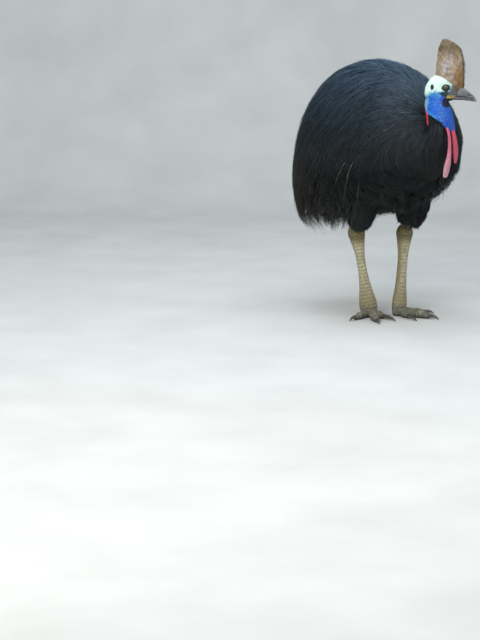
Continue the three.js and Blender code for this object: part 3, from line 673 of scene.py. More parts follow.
def shader(name):
    """A new material with its principled shader, and a function that adds nodes to it."""
    made = bpy.data.materials.new(name)
    made.use_nodes = True
    tree = made.node_tree
    principled = next(n for n in tree.nodes if n.type == "BSDF_PRINCIPLED")

    def add(kind, inputs=(), **settings):
        node = tree.nodes.new(kind)
        for key, value in settings.items():
            setattr(node, key, value)
        for key, value in dict(inputs).items():
            if isinstance(value, bpy.types.NodeSocket):
                tree.links.new(value, node.inputs[key])
            else:
                node.inputs[key].default_value = value
        return node

    def feed(key, value):
        if isinstance(value, bpy.types.NodeSocket):
            tree.links.new(value, principled.inputs[key])
        else:
            principled.inputs[key].default_value = value

    return made, add, feed


def rgba(colour):
    return (*colour, 1.0)


def ramp(add, value, stops):
    node = add("ShaderNodeValToRGB", {"Fac": value})
    band = node.color_ramp
    while len(band.elements) < len(stops):
        band.elements.new(0.5)
    for element, (position, colour) in zip(band.elements, stops):
        element.position = position
        element.color = rgba(colour)
    return node.outputs["Color"]


def speckle(add, space, scale, detail):
    return add("ShaderNodeTexNoise", {"Vector": space, "Scale": scale, "Detail": detail}).outputs["Fac"]


def blended(add, share, base, colour, kind="MIX"):
    return add("ShaderNodeMix", {0: share, 6: base, 7: colour}, data_type="RGBA", blend_type=kind).outputs[2]


def worked(add, operation, a, b):
    return add("ShaderNodeMath", {0: a, 1: b}, operation=operation).outputs[0]


def relief(add, height, strength, distance):
    return add("ShaderNodeBump", {"Height": height, "Strength": strength, "Distance": distance}).outputs[0]


skin_look, add, feed = shader("bare_skin")
space = add("ShaderNodeTexCoord").outputs["Object"]
marks = add("ShaderNodeAttribute", attribute_name="marking").outputs["Color"]
dull = add("ShaderNodeAttribute", attribute_name="dull").outputs["Fac"]
mottle = speckle(add, space, 260.0, 5.0)
shade = ramp(add, mottle, [(0.3, (0.62, 0.62, 0.62)), (0.7, (1.18, 1.18, 1.18))])
feed("Base Color", blended(add, 1.0, marks, shade, "MULTIPLY"))
cells = add("ShaderNodeTexVoronoi", {"Vector": space, "Scale": 420.0}).outputs["Distance"]
pores = speckle(add, space, 1400.0, 3.0)
feed("Normal", relief(add, worked(add, "ADD", cells, pores), 0.35, 0.0006))
feed("Roughness", dull)
feed("Specular IOR Level", 0.28)
feed("Subsurface Weight", 0.06)
feed("Subsurface Radius", (0.004, 0.002, 0.0015))
skin.data.materials.clear()
skin.data.materials.append(skin_look)
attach(skin, "root")
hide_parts("torso", "rump", "neck_feathered", "neck", "head", "thigh_right", "thigh_left",
            "shank_right", "shank_left",
            *(f"toe_{toe}_{name}" for toe in TOES for name in LEGS))


# Eyes: wet dark balls, each with a deep brown iris around a black pupil and a clear front. They
# sit in the head's sockets, and the thick lids of the skin lap over their edges.
IRIS = (0.060, 0.043, 0.010)
IRIS_EDGE = (0.020, 0.010, 0.006)
PUPIL = (0.002, 0.002, 0.002)
IRIS_SIZE = 0.0088
PUPIL_SIZE = 0.0044
eye_look, add, feed = shader("eye")
from_axis = add("ShaderNodeAttribute", attribute_name="from_axis").outputs["Fac"]
rays = add("ShaderNodeTexNoise", {"Vector": add("ShaderNodeTexCoord").outputs["Object"], "Scale": 900.0})
spokes = worked(add, "MULTIPLY", rays.outputs["Fac"], 0.06)
uneven = worked(add, "ADD", spokes, from_axis)
feed("Base Color", ramp(add, uneven, [
    (0.0, PUPIL), (PUPIL_SIZE / EYE_RADIUS + 0.02, PUPIL), (PUPIL_SIZE / EYE_RADIUS + 0.06, IRIS),
    (IRIS_SIZE / EYE_RADIUS, IRIS), (IRIS_SIZE / EYE_RADIUS + 0.09, IRIS_EDGE), (1.0, PUPIL)]))
feed("Roughness", 0.06)
feed("Coat Weight", 1.0)
feed("Coat Roughness", 0.02)
for name, side in (("right", -1), ("left", 1)):
    def ball(share, angle, side=side):
        turn = math.pi * share
        out = EYE_RADIUS * np.cos(turn)
        across = EYE_RADIUS * np.sin(turn)
        point = [side * (EYE_X + out), across * np.cos(angle), across * np.sin(angle)]
        return from_head(np.stack(np.broadcast_arrays(*point), -1))

    eye = closed("eyeball_" + name, 56, ball, np.linspace(0, 1, 41))
    local = in_head(points_of(eye))
    distance = np.hypot(local[:, 1], local[:, 2]) / EYE_RADIUS
    distance[local[:, 0] * side < EYE_X] = 1.0
    note(eye.data, "from_axis", distance)
    eye.data.materials.append(eye_look)
    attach(eye, "root")
    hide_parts("eye_" + name)


# Casque: a tall helmet of fibrous horn over a light core, tan and mottled, darker towards its top,
# with a thin pale line of painted rim light along its keel in front. Its foot is sunk into the skin of the crown.
CASQUE_FOOT = -0.026
CASQUE_TOP = 0.190
# Outline of the casque upwards: height, rear, front, half thickness.
CASQUE = np.array([
    [-26, -40, 78, 19], [0, -42, 76, 20], [45, -44, 74, 20], [80, -42, 74, 17], [122, -39, 68, 13],
    [158, -35, 54, 10], [188, -31, 18, 7],
]) * MM
HORN_TAN = (0.230, 0.165, 0.095)
HORN_GOLD = (0.062, 0.039, 0.013)
HORN_PALE = (0.310, 0.275, 0.285)
HORN_AMBER = (0.160, 0.075, 0.018)
HORN_DARK = (0.035, 0.034, 0.026)
HORN_RIM_LIGHT = (0.260, 0.270, 0.285)
casque_at = smooth(CASQUE)


def casque_surface(share, angle):
    s = 2 * share - 1
    z = lerp(CASQUE_FOOT, CASQUE_TOP, share) + 0 * angle
    rear, front, thick = np.moveaxis(casque_at(z), -1, 0)
    roundness = rounding(s, 4)
    reach = np.cos(angle)
    forward = (rear + front) / 2 + (front - rear) / 2 * roundness * reach
    taper = 1 - 0.35 * smoothstep(reach, 0, 1)
    return from_head(np.stack([thick * roundness * taper * np.sin(angle), -forward, z], -1))


casque = closed("casque_horn", 120, casque_surface, eased(130))
places, normals = points_of(casque), normals_of(casque)
aside, back, up = in_head(places).T
fibre = grain(np.column_stack([aside * 3, back * 2.2, up * 0.35]), 0.012, 31)
dents = grain(places, 0.03, 32)
set_points(casque, places + normals * (0.00035 * fibre + 0.0007 * dents)[:, None])
rear, front, thick = casque_at(up).T
edge = smoothstep((-back - (rear + front) / 2) / ((front - rear) / 2), 0.72, 1.0)
crest = smoothstep(up, 0.105, 0.165)
middle = np.exp(-((up - 0.085) / 0.05) ** 2) * np.exp(-((-back - 0.005) / 0.03) ** 2)
colour = np.tile(np.array(HORN_TAN), (len(places), 1))
colour = mixed(colour, HORN_PALE, 0.9 * middle * (0.6 + 0.4 * dents))
colour = mixed(colour, HORN_GOLD, crest * (0.7 + 0.3 * dents))
amber = smoothstep(-back, 0.025, 0.050) * smoothstep(up, 0.095, 0.045)
colour = mixed(colour, HORN_AMBER, 0.85 * amber)
colour = mixed(colour, HORN_DARK, 0.8 * edge * smoothstep(np.abs(aside), 0.014, 0.004) + 0.45 * edge)
colour = mixed(colour, HORN_PALE, 0.7 * smoothstep(up, 0.176, 0.188) * smoothstep(fibre, -0.2, 0.6))
# Painted rim light: a thin pale grey-blue line along the narrow front edge, where sky light glints.
keel_rim_light = smoothstep(edge, 0.80, 0.95) * smoothstep(np.abs(aside), 0.0050, 0.0034)
colour = mixed(colour, HORN_RIM_LIGHT, 0.9 * keel_rim_light)
paint(casque, colour)


def ranged(add, value, low, high, start=0.0, end=1.0):
    """What goes from low to high while a value goes from start to end."""
    ends = {"Value": value, "From Min": start, "From Max": end, "To Min": low, "To Max": high}
    return add("ShaderNodeMapRange", ends).outputs[0]


casque_look, add, feed = shader("casque_horn")
space = add("ShaderNodeTexCoord").outputs["Object"]
drawn = add("ShaderNodeMapping", {"Vector": space, "Scale": (1.0, 1.0, 0.16)}).outputs[0]
fibres = speckle(add, drawn, 420.0, 6.0)
blotch = speckle(add, space, 75.0, 5.0)
total = worked(add, "ADD", fibres, blotch)
shade = ramp(add, worked(add, "MULTIPLY", total, 0.5),
             [(0.36, (0.45, 0.42, 0.40)), (0.5, (0.95, 0.95, 0.95)), (0.64, (1.5, 1.5, 1.45))])
marks = add("ShaderNodeAttribute", attribute_name="marking").outputs["Color"]
feed("Base Color", blended(add, 1.0, marks, shade, "MULTIPLY"))
feed("Roughness", ranged(add, blotch, 0.42, 0.68))
feed("Specular IOR Level", 0.32)
feed("Normal", relief(add, total, 0.4, 0.0006))
casque.data.materials.append(casque_look)
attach(casque, "root")
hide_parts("casque")


# Bill: two halves of grey horn over the jaws, which meet in a dark line. Both have a pale, worn
# tip, the upper one has slit nostrils, and their roots are let into the skin of the face.
NOSTRIL = {"forward": 0.093, "up": -0.031, "length": 0.0085, "height": 0.0026, "depth": 0.0028}
# Outline of each half along its length: forward, half width, top, bottom.
BILL_UPPER = np.array([[42, 21, 4, -37], [75, 16, -6, -38], [100, 11, -26, -43], [120, 6.5, -42, -51],
                       [132, 3.5, -50, -59]]) * MM
BILL_LOWER = np.array([[8, 19, -38, -51], [60, 15, -38, -51], [96, 10, -42, -54],
                       [122, 5.5, -51, -59]]) * MM
BILL_GREY = (0.095, 0.097, 0.105)
BILL_TIP = (0.420, 0.390, 0.340)
BILL_DARK = (0.030, 0.028, 0.028)


def bill_half(rows, arch, flat):
    at = smooth(rows)

    def surface(share, angle):
        forward = lerp(rows[0, 0], rows[-1, 0], share) + 0 * angle
        wide, top, bottom = np.moveaxis(at(forward), -1, 0)
        roundness = rounding(2 * share - 1, 5)
        level = lerp(bottom, top, 0.25 if arch > 0 else 0.75)
        up, out = np.cos(angle), np.sin(angle)
        bend = np.where(np.sign(up) == arch, 1.0, flat)
        reach = np.where(up > 0, top - level, level - bottom)
        x = wide * roundness * np.sign(out) * np.abs(out) ** bend
        z = level + reach * roundness * np.sign(up) * np.abs(up) ** bend
        return from_head(np.stack(np.broadcast_arrays(x, -forward, z), -1))

    return surface


bill_look, add, feed = shader("bill_horn")
space = add("ShaderNodeTexCoord").outputs["Object"]
marks = add("ShaderNodeAttribute", attribute_name="marking").outputs["Color"]
scratches = speckle(add, space, 340.0, 6.0)
shade = ramp(add, scratches, [(0.34, (0.6, 0.6, 0.6)), (0.66, (1.35, 1.35, 1.35))])
feed("Base Color", blended(add, 1.0, marks, shade, "MULTIPLY"))
feed("Roughness", ranged(add, scratches, 0.28, 0.5))
feed("Normal", relief(add, scratches, 0.25, 0.0004))
for name, rows, arch in (("upper", BILL_UPPER, 1), ("lower", BILL_LOWER, -1)):
    half = closed("bill_half_" + name, 72, bill_half(rows, arch, 0.5), eased(80))
    places, normals = points_of(half), normals_of(half)
    aside, back, up = in_head(places).T
    forward = -back
    ridge = 0.0004 * grain(np.column_stack([aside * 2, back * 0.5, up * 2]), 0.01, 41)
    slit = np.hypot((forward - NOSTRIL["forward"] + 0.25 * (up - NOSTRIL["up"])) / NOSTRIL["length"],
                    (up - NOSTRIL["up"] + 0.35 * (forward - NOSTRIL["forward"])) / NOSTRIL["height"])
    slit = smoothstep(slit, 1.3, 0.5) * (name == "upper") * (np.abs(aside) > 0.003)
    set_points(half, places + normals * (ridge - NOSTRIL["depth"] * slit)[:, None])
    colour = np.tile(np.array(BILL_GREY), (len(places), 1))
    colour = mixed(colour, BILL_TIP, smoothstep(forward, 0.108, 0.128))
    colour = mixed(colour, BILL_TIP, 0.35 * smoothstep(up, -0.03, 0.0) * smoothstep(forward, 0.06, 0.09))
    foot = smoothstep(forward, 0.066, 0.056) * smoothstep(up, -0.026, -0.014)
    colour = mixed(colour, HORN_FOOT, 0.85 * foot * (name == "upper"))
    colour = mixed(colour, BILL_DARK, 0.9 * slit)
    paint(half, colour)
    half.data.materials.append(bill_look)
    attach(half, "root")
    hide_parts("bill_" + name)


# Wattles: two flat, wrinkled tongues of bare skin that hang side by side from the throat. The
# right one is longer and pales towards its broad end, and both grow out of the neck's skin.
WATTLE_TONES = {
    "wattle_right": [(0.0, (0.40, 0.040, 0.080)), (0.45, (0.44, 0.100, 0.150)), (1.0, (0.46, 0.260, 0.290))],
    "wattle_left": [(0.0, (0.36, 0.030, 0.060)), (0.6, (0.40, 0.045, 0.085)), (1.0, (0.44, 0.080, 0.120))],
}
# Middle line of each, with its half width and half thickness.
WATTLES = {
    "wattle_right": [[-10, -420, 842, 6.5, 5.5], [-11, -440, 808, 7, 5.5], [-10, -446, 770, 7.5, 6],
                     [-12, -446, 715, 11, 7.5], [-18, -440, 665, 18, 10], [-22, -435, 632, 15, 8]],
    "wattle_left": [[15, -418, 842, 8, 5.5], [17, -434, 808, 11, 6.5], [21, -440, 770, 14, 8],
                    [27, -438, 728, 14, 8], [32, -431, 686, 7.5, 5.5]],
}
for name, rows in WATTLES.items():
    rows = np.array(rows) * MM
    sizes = np.column_stack([np.linspace(0, 1, len(rows)), rows[:, 3:]])
    place = limb(rows[:, :3] + SHIFT, sizes, [1, 0.4, 0])
    hanging = closed(name + "_skin", 56, place, eased(140))
    places, normals = points_of(hanging), normals_of(hanging)
    crease = np.sin(2 * math.pi * (places[:, 0] / 0.006 + 0.9 * grain(places, 0.03, 51)))
    bumps = np.clip(grain(places, 0.007, 52), -0.3, 1)
    set_points(hanging, places + normals * (0.00035 * crease + 0.0006 * bumps)[:, None])
    top, bottom = rows[0, 2] + SHIFT[2], rows[-1, 2] + SHIFT[2]
    along = np.clip((top - places[:, 2]) / (top - bottom), 0, 1)
    note(hanging.data, "along", along)
    look, add, feed = shader(name + "_skin")
    space = add("ShaderNodeTexCoord").outputs["Object"]
    tone = ramp(add, add("ShaderNodeAttribute", attribute_name="along").outputs["Fac"], WATTLE_TONES[name])
    mottle = speckle(add, space, 300.0, 5.0)
    shade = ramp(add, mottle, [(0.32, (0.7, 0.7, 0.7)), (0.68, (1.25, 1.25, 1.25))])
    feed("Base Color", blended(add, 1.0, tone, shade, "MULTIPLY"))
    cells = add("ShaderNodeTexVoronoi", {"Vector": space, "Scale": 500.0}).outputs["Distance"]
    feed("Normal", relief(add, cells, 0.35, 0.0006))
    feed("Roughness", ranged(add, mottle, 0.42, 0.58))
    feed("Subsurface Weight", 0.12)
    feed("Subsurface Radius", (0.006, 0.002, 0.0015))
    hanging.data.materials.append(look)
    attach(hanging, "root")
    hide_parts(name)


# Body feathers: long, coarse, hair-like strands that hang in tufts, rooted in the skin, drawn
# over each other down the back, flanks and rump. They are solid strands with three sides.
TUFTS = 6900
TUFT_STRANDS = 8
STRAND_WIDTH = 0.0025
STRAND_THICKNESS = 0.0008
STRAND_SHARES = np.array([0.0, 0.24, 0.52, 0.80, 1.0])
STRAND_SIZES = np.array([0.6, 1.0, 0.85, 0.55])
BAKE_PATCH = 0.003
BAKE_MARGIN = 0.02
CORE_FRONT = 0.165
CORE_REAR = 0.170
# Behind this place tips are pressed towards the rump, so that the strays stay close to it.
REAR_LIMIT = 0.492
REAR_PRESS = 0.55
COAT_BLACK = (0.0030, 0.0040, 0.0040)
COAT_DARK = (0.0060, 0.0080, 0.0082)
COAT_GREY = (0.0200, 0.0300, 0.0305)
COAT_BROWN = (0.0560, 0.0500, 0.0370)
# Painted sheen: the sky-blue tint on the top of the back stands in for the reflection of the sky light.
COAT_SKY_SHEEN = (0.0640, 0.1150, 0.1820)


def strands_mesh(name, paths, outs, widths, roots, tones):
    """One mesh of solid strands. paths and outs are [strand, section, 3]; roots are their places
    on the unwrapped skin."""
    count, sections = paths.shape[:2]
    run = unit(np.gradient(paths, axis=1))
    across = unit(np.cross(run, outs))
    size = STRAND_SIZES[None, :, None] * widths[:, None, None]
    middle = paths[:, :-1]
    out = outs[:, :-1]
    side = across[:, :-1] * size * 0.5
    depth = out * STRAND_THICKNESS * STRAND_SIZES[None, :, None]
    rings = np.stack([middle + depth * 0.6, middle + side - depth * 0.4, middle - side - depth * 0.4], 2)
    points = np.concatenate([rings.reshape(count, -1, 3), paths[:, -1:]], 1)
    per = points.shape[1]
    quads = []
    for k in range(sections - 2):
        for j in range(3):
            a, b = 3 * k + j, 3 * k + (j + 1) % 3
            quads.append([a, b, b + 3, a + 3])
    last = 3 * (sections - 2)
    triangles = [[0, 2, 1]] + [[last + j, last + (j + 1) % 3, per - 1] for j in range(3)]
    start = (np.arange(count) * per)[:, None]
    loops = np.concatenate([start + np.ravel(quads)[None, :], start + np.ravel(triangles)[None, :]], 1)
    lengths = np.tile([4] * len(quads) + [3] * len(triangles), count)
    mesh = bpy.data.meshes.new(name)
    mesh.vertices.add(count * per)
    mesh.vertices.foreach_set("co", points.astype(np.float32).ravel())
    mesh.loops.add(loops.size)
    mesh.loops.foreach_set("vertex_index", loops.astype(np.int32).ravel())
    mesh.polygons.add(len(lengths))
    starts = np.concatenate([[0], np.cumsum(lengths)[:-1]]).astype(np.int32)
    mesh.polygons.foreach_set("loop_start", starts)
    mesh.update(calc_edges=True)
    along = np.concatenate([np.repeat(STRAND_SHARES[:-1], 3), [1.0]])
    sideways = np.concatenate([np.tile([0.5, 1.0, 0.0], sections - 1), [0.5]])
    patch = (np.stack([sideways, along], -1) - 0.5) * BAKE_PATCH
    uv_points = roots[:, None, :] + patch[None]
    uv = mesh.uv_layers.new(name="OFBake")
    flat = uv_points.reshape(-1, 2)[loops.ravel()]
    uv.uv.foreach_set("vector", flat.astype(np.float32).ravel())
    note(mesh, "tone", np.repeat(tones, per))
    mesh.shade_smooth()
    made = bpy.data.objects.new(name, mesh)
    bpy.context.scene.collection.objects.link(made)
    if volume(made) < 0:
        mesh.flip_normals()
    return made


def unwrapped(share, angle):
    """Places of roots on the unwrap of the skin's own shape: along it and around it."""
    whole = 1 - 2 * BAKE_MARGIN
    return BAKE_MARGIN + whole * np.stack([share, angle / (2 * math.pi) % 1], -1)


def along_paths(track, facing):
    """Paths and outward directions at the strands' own shares of each track's length."""
    steps = np.linalg.norm(np.diff(track, axis=1), axis=2)
    far = np.concatenate([np.zeros((len(track), 1)), np.cumsum(steps, axis=1)], 1)
    index = np.arange(track.shape[1])
    wanted = far[:, -1:] * STRAND_SHARES
    place = np.stack([np.interp(w, f, index) for w, f in zip(wanted, far)])
    low = np.minimum(place.astype(int), track.shape[1] - 2)
    part = (place - low)[..., None]
    row = np.arange(len(track))[:, None]
    return (lerp(track[row, low], track[row, low + 1], part),
            unit(lerp(facing[row, low], facing[row, low + 1], part)))


def tuft_strands(paths, outs, spread, wander, stray):
    """Strands of each tuft beside its middle path: apart at the root, closer at the tip."""
    count, sections = paths.shape[:2]
    run = unit(np.gradient(paths, axis=1))
    across = unit(np.cross(run, outs))
    n = TUFT_STRANDS
    aside = rng.uniform(-1, 1, (count, n, 1)) * spread
    outward = rng.uniform(-1, 0.3, (count, n, 1)) * 0.005
    share = STRAND_SHARES[None, None, :]
    close = lerp(1.0, 0.70, share)
    drift = rng.normal(0, wander, (count, n, 1)) * share**1.5
    curl = rng.normal(0, 0.0015, (count, n, 1)) * np.sin(share * rng.uniform(3, 6, (count, n, 1)))
    fly = (rng.random((count, n, 1)) < stray) * rng.uniform(0.3, 1, (count, n, 1)) * share**2
    fly_aside = fly * rng.normal(0, 0.016, (count, n, 1))
    sideways = (aside * close + drift + curl + fly_aside)[..., None]
    lifted = (outward * (1 - share) + fly * 0.009)[..., None]
    strands = paths[:, None] + across[:, None] * sideways + outs[:, None] * lifted
    slide = rng.uniform(-0.20, 0.03, (count, n, 1, 1)) * (paths[:, -1:] - paths[:, :1])[:, None]
    strands = strands + slide * share[..., None]
    normals = np.broadcast_to(outs[:, None], strands.shape)
    return strands.reshape(-1, sections, 3), normals.reshape(-1, sections, 3)


def coat_out(points):
    """The way out of the coat at places in or near it."""
    step = 0.004
    slope = [coat_reach(points + np.eye(3)[k] * step) - coat_reach(points - np.eye(3)[k] * step)
             for k in range(3)]
    return unit(np.stack(slope, -1))


def on_coat(points):
    """Places drawn onto the coat's outline, away from the middle of the body, and outwards there."""
    y = np.clip(points[:, 1] - SHIFT[1], COAT_FRONT + CORE_FRONT, COAT_REAR - CORE_REAR)
    middle = np.stack([0 * y, y, coat_at(y)[:, 2]], -1) + SHIFT
    ray = unit(points - middle)
    inside, outside = np.zeros(len(y)), np.full(len(y), 0.7)
    for _ in range(15):
        half = (inside + outside) / 2
        within = coat_reach(middle + ray * half[:, None]) < 1
        inside = np.where(within, half, inside)
        outside = np.where(within, outside, half)
    return middle + ray * inside[:, None], coat_out(middle + ray * (inside * 0.96)[:, None])


def lie(points, out):
    """The way the feathers lie: down the chest and rump, back and down over the flanks."""
    x, y, z = (points - SHIFT).T
    back = 0.65 * smoothstep(y, -0.38, -0.12) * (1 - 0.80 * smoothstep(y, 0.20, 0.43))
    back = back * smoothstep(out[:, 2], -0.45, -0.05) + 1.6 * smoothstep(out[:, 2], 0.6, 1)
    back = back - 0.22 * smoothstep(y, 0.22, 0.42) * smoothstep(out[:, 2], 0.15, -0.1)
    back = back + 2.2 * smoothstep(y, -0.10, -0.26) * smoothstep(z, 0.72, 0.93)
    beneath = smoothstep(out[:, 2], -0.55, -0.85)
    aside = 0.3 * np.clip(x / 0.12, -1, 1) * smoothstep(out[:, 2], -0.4, 0.0)
    return np.stack([aside, back + beneath, -np.ones(len(x))], -1)


# Roots are spread evenly over the coat, but closer at the shoulders, where the lie parts.
grid_share = np.linspace(0.004, 0.996, 120)
grid_angle = np.linspace(0, 2 * math.pi, 121)
coat_surface = body_surface(0.0, COAT_FRINGE, RUMP_FRINGE)
surface = coat_surface(grid_share[:, None], grid_angle[None, :])
sides = surface[1:, :-1] - surface[:-1, :-1], surface[:-1, 1:] - surface[:-1, :-1]
area = np.linalg.norm(np.cross(*sides), axis=-1).ravel()
middle = surface[:-1, :-1].reshape(-1, 3) - SHIFT
wanted = area * (1 + 5.5 * smoothstep(middle[:, 1], -0.22, -0.34) * smoothstep(middle[:, 2], 0.68, 0.84))
picked = rng.choice(area.size, TUFTS, p=wanted / wanted.sum())
row, column = np.unravel_index(picked, (119, 120))
share = grid_share[row] + rng.random(TUFTS) * (grid_share[1] - grid_share[0])
angle = grid_angle[column] + rng.random(TUFTS) * (grid_angle[1] - grid_angle[0])
start = coat_surface(share, angle)
at, out = on_coat(start)
tuft_roots = unwrapped(share, angle)
y = at[:, 1] - SHIFT[1]
length = np.interp(y, [-0.38, -0.2, 0.0, 0.25, 0.5], [0.15, 0.20, 0.24, 0.28, 0.28])
length = length * rng.uniform(0.82, 1.15, TUFTS)
steps = 12
twist = np.radians(rng.normal(0, 4, TUFTS))
fringe = rng.random(TUFTS) ** 2.2
grown = np.ones(TUFTS, bool)

# Each tuft grows step by step along the coat's outline, and hangs free below its lower edge.
track, facing = [at], [out]
for i in range(steps):
    run = lie(at, out)
    hanging = smoothstep(out[:, 2], -0.15, -0.35)
    flat = run - out * np.einsum("ij,ij->i", run, out)[:, None]
    run = unit(lerp(unit(flat), unit(run), hanging[:, None]))
    turned = run * np.cos(twist)[:, None] + np.cross(out, run) * np.sin(twist)[:, None]
    ahead = at + turned * (length / steps)[:, None]
    flat_at, flat_out = on_coat(ahead)
    hang = COAT_FRINGE + RUMP_FRINGE * smoothstep(at[:, 1] - SHIFT[1], 0.12, 0.40)
    hang = 0.004 + hang * fringe
    clear = np.clip(np.einsum("ij,ij->i", ahead - flat_at, flat_out), 0, 1) * (hanging > 0)
    grown = grown & ((clear < hang) | (i < 4) | (at[:, 1] - SHIFT[1] < 0.04))
    clear = np.minimum(clear, hang)
    at = np.where(grown[:, None], flat_at + flat_out * clear[:, None], at)
    out = np.where(grown[:, None], flat_out, out)
    track.append(at)
    facing.append(out)
track, facing = np.stack(track, 1), np.stack(facing, 1)
paths, outs = along_paths(track, facing)
root_depth = SKIN_DEPTH + 0.004 + 0.03 * smoothstep(-outs[:, 0, 2], 0.1, 0.8)
rest_depth = rng.uniform(0.002, 0.009, TUFTS)
quick = lerp(0.50, 0.13, smoothstep(y, -0.18, -0.30))[:, None]
rise = smoothstep(STRAND_SHARES / quick, 0, 1)
depth = root_depth[:, None] * (1 - rise) + rest_depth[:, None] * rise * (1 - 0.6 * STRAND_SHARES)
paths = paths - outs * depth[..., None]
strand_paths, strand_outs = tuft_strands(paths, outs, 0.013, 0.003, 0.09)
strand_paths[..., 1] -= REAR_PRESS * np.maximum(strand_paths[..., 1] - SHIFT[1] - REAR_LIMIT, 0)
n_strands = len(strand_paths)
loose = np.repeat(fringe * smoothstep(-outs[:, -1, 2], 0.1, 0.5), TUFT_STRANDS)
widths = STRAND_WIDTH * rng.uniform(0.65, 1.3, n_strands) * (1 - 0.45 * loose)
tones = np.repeat(rng.uniform(0, 1, TUFTS), TUFT_STRANDS) * 0.45 + rng.uniform(0, 0.55, n_strands)
strand_roots = np.repeat(tuft_roots, TUFT_STRANDS, axis=0)

feather_look, add, feed = shader("feathers")
space = add("ShaderNodeTexCoord").outputs["Object"]
tone = add("ShaderNodeAttribute", attribute_name="tone").outputs["Fac"]
apart = add("ShaderNodeSeparateXYZ", {"Vector": space})
rearward, upward = apart.outputs["Y"], apart.outputs["Z"]
black = ramp(add, tone, [(0.0, COAT_BLACK), (0.6, COAT_DARK), (1.0, COAT_GREY)])
to_rear = ranged(add, rearward, 0.0, 1.0, 0.05, 0.40)
to_floor = ranged(add, upward, 0.0, 1.0, 0.95, 0.55)
low_rear = worked(add, "MULTIPLY", to_rear, to_floor)
browned = blended(add, worked(add, "MULTIPLY", low_rear, tone), black, rgba(COAT_BROWN))
# Painted reflection: strands on the top of the back, behind the chest and before the rump, are tinted sky blue as
# painted sheen, more on lighter strands.
to_back = worked(add, "POWER", ranged(add, upward, 0.0, 1.0, 0.50, 1.08), 2.6)
behind_chest = ranged(add, rearward, 0.25, 1.0, -0.42, -0.22)
before_rump = ranged(add, rearward, 1.0, 0.35, 0.12, 0.46)
painted_sheen_area = worked(add, "MULTIPLY", to_back, worked(add, "MULTIPLY", behind_chest, before_rump))
top = worked(add, "MULTIPLY", painted_sheen_area, ranged(add, tone, 0.25, 1.1))
feed("Base Color", blended(add, top, browned, rgba(COAT_SKY_SHEEN)))
feed("Roughness", ranged(add, tone, 0.34, 0.55))
feed("Specular IOR Level", 0.24)
feed("Sheen Weight", 0.06)
feed("Sheen Roughness", 0.4)

order = np.argsort(np.repeat(start[:, 1], TUFT_STRANDS), kind="stable")
turned = np.repeat(np.arctan2(start[:, 0], start[:, 2] - 0.7), TUFT_STRANDS)
for third, place_name in zip(np.array_split(order, 3), ("front", "middle", "rear")):
    ranked = third[np.argsort(turned[third], kind="stable")]
    for group, side_name in zip(np.array_split(ranked, 3), ("right", "top", "left")):
        feathers = strands_mesh(f"feathers_{place_name}_{side_name}", strand_paths[group],
                                strand_outs[group], widths[group], strand_roots[group], tones[group])
        feathers.data.materials.append(feather_look)
        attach(feathers, "root")


# Neck feathers: short, dense strands from the slanting edge of the bare skin down to the chest.
# They are rooted in the skin of the neck and cover the place where it leaves the coat.
NECK_TUFTS = 760
NECK_STRAND_WIDTH = 0.0026
t = rng.uniform(0.10, 0.66, NECK_TUFTS * 6)
angle = rng.uniform(0, 2 * math.pi, NECK_TUFTS * 6)
place = neck_place(t, angle)
below, _ = feather_edge(place)
keep = (below > 0.002) & (coat_reach(place) > 0.45)
t, angle = t[keep][:NECK_TUFTS], angle[keep][:NECK_TUFTS]
count = len(t)
length = rng.uniform(0.10, 0.16, count)
share = STRAND_SHARES[None, :]
t_path = np.clip(t[:, None] - length[:, None] * share / 0.42, 0.02, 1)
turn = angle[:, None] + rng.normal(0, 0.10, (count, 1)) * share
depth = 0.010 * (1 - smoothstep(share, 0, 0.30)) - 0.004 * share + rng.uniform(-0.002, 0.002, (count, 1))
inner, outer = neck_place(t_path, turn, -depth), neck_place(t_path, turn, 0.01 - depth)
neck_paths, neck_outs = tuft_strands(inner, unit(outer - inner), 0.007, 0.003, 0.05)
n_strands = len(neck_paths)
roots = np.repeat(unwrapped(t, angle), TUFT_STRANDS, axis=0)
widths = NECK_STRAND_WIDTH * rng.uniform(0.65, 1.3, n_strands)
tones = rng.uniform(0, 0.7, n_strands)
neck_feathers = strands_mesh("feathers_neck", neck_paths, neck_outs, widths, roots, tones)
neck_feathers.data.materials.append(feather_look)
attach(neck_feathers, "root")


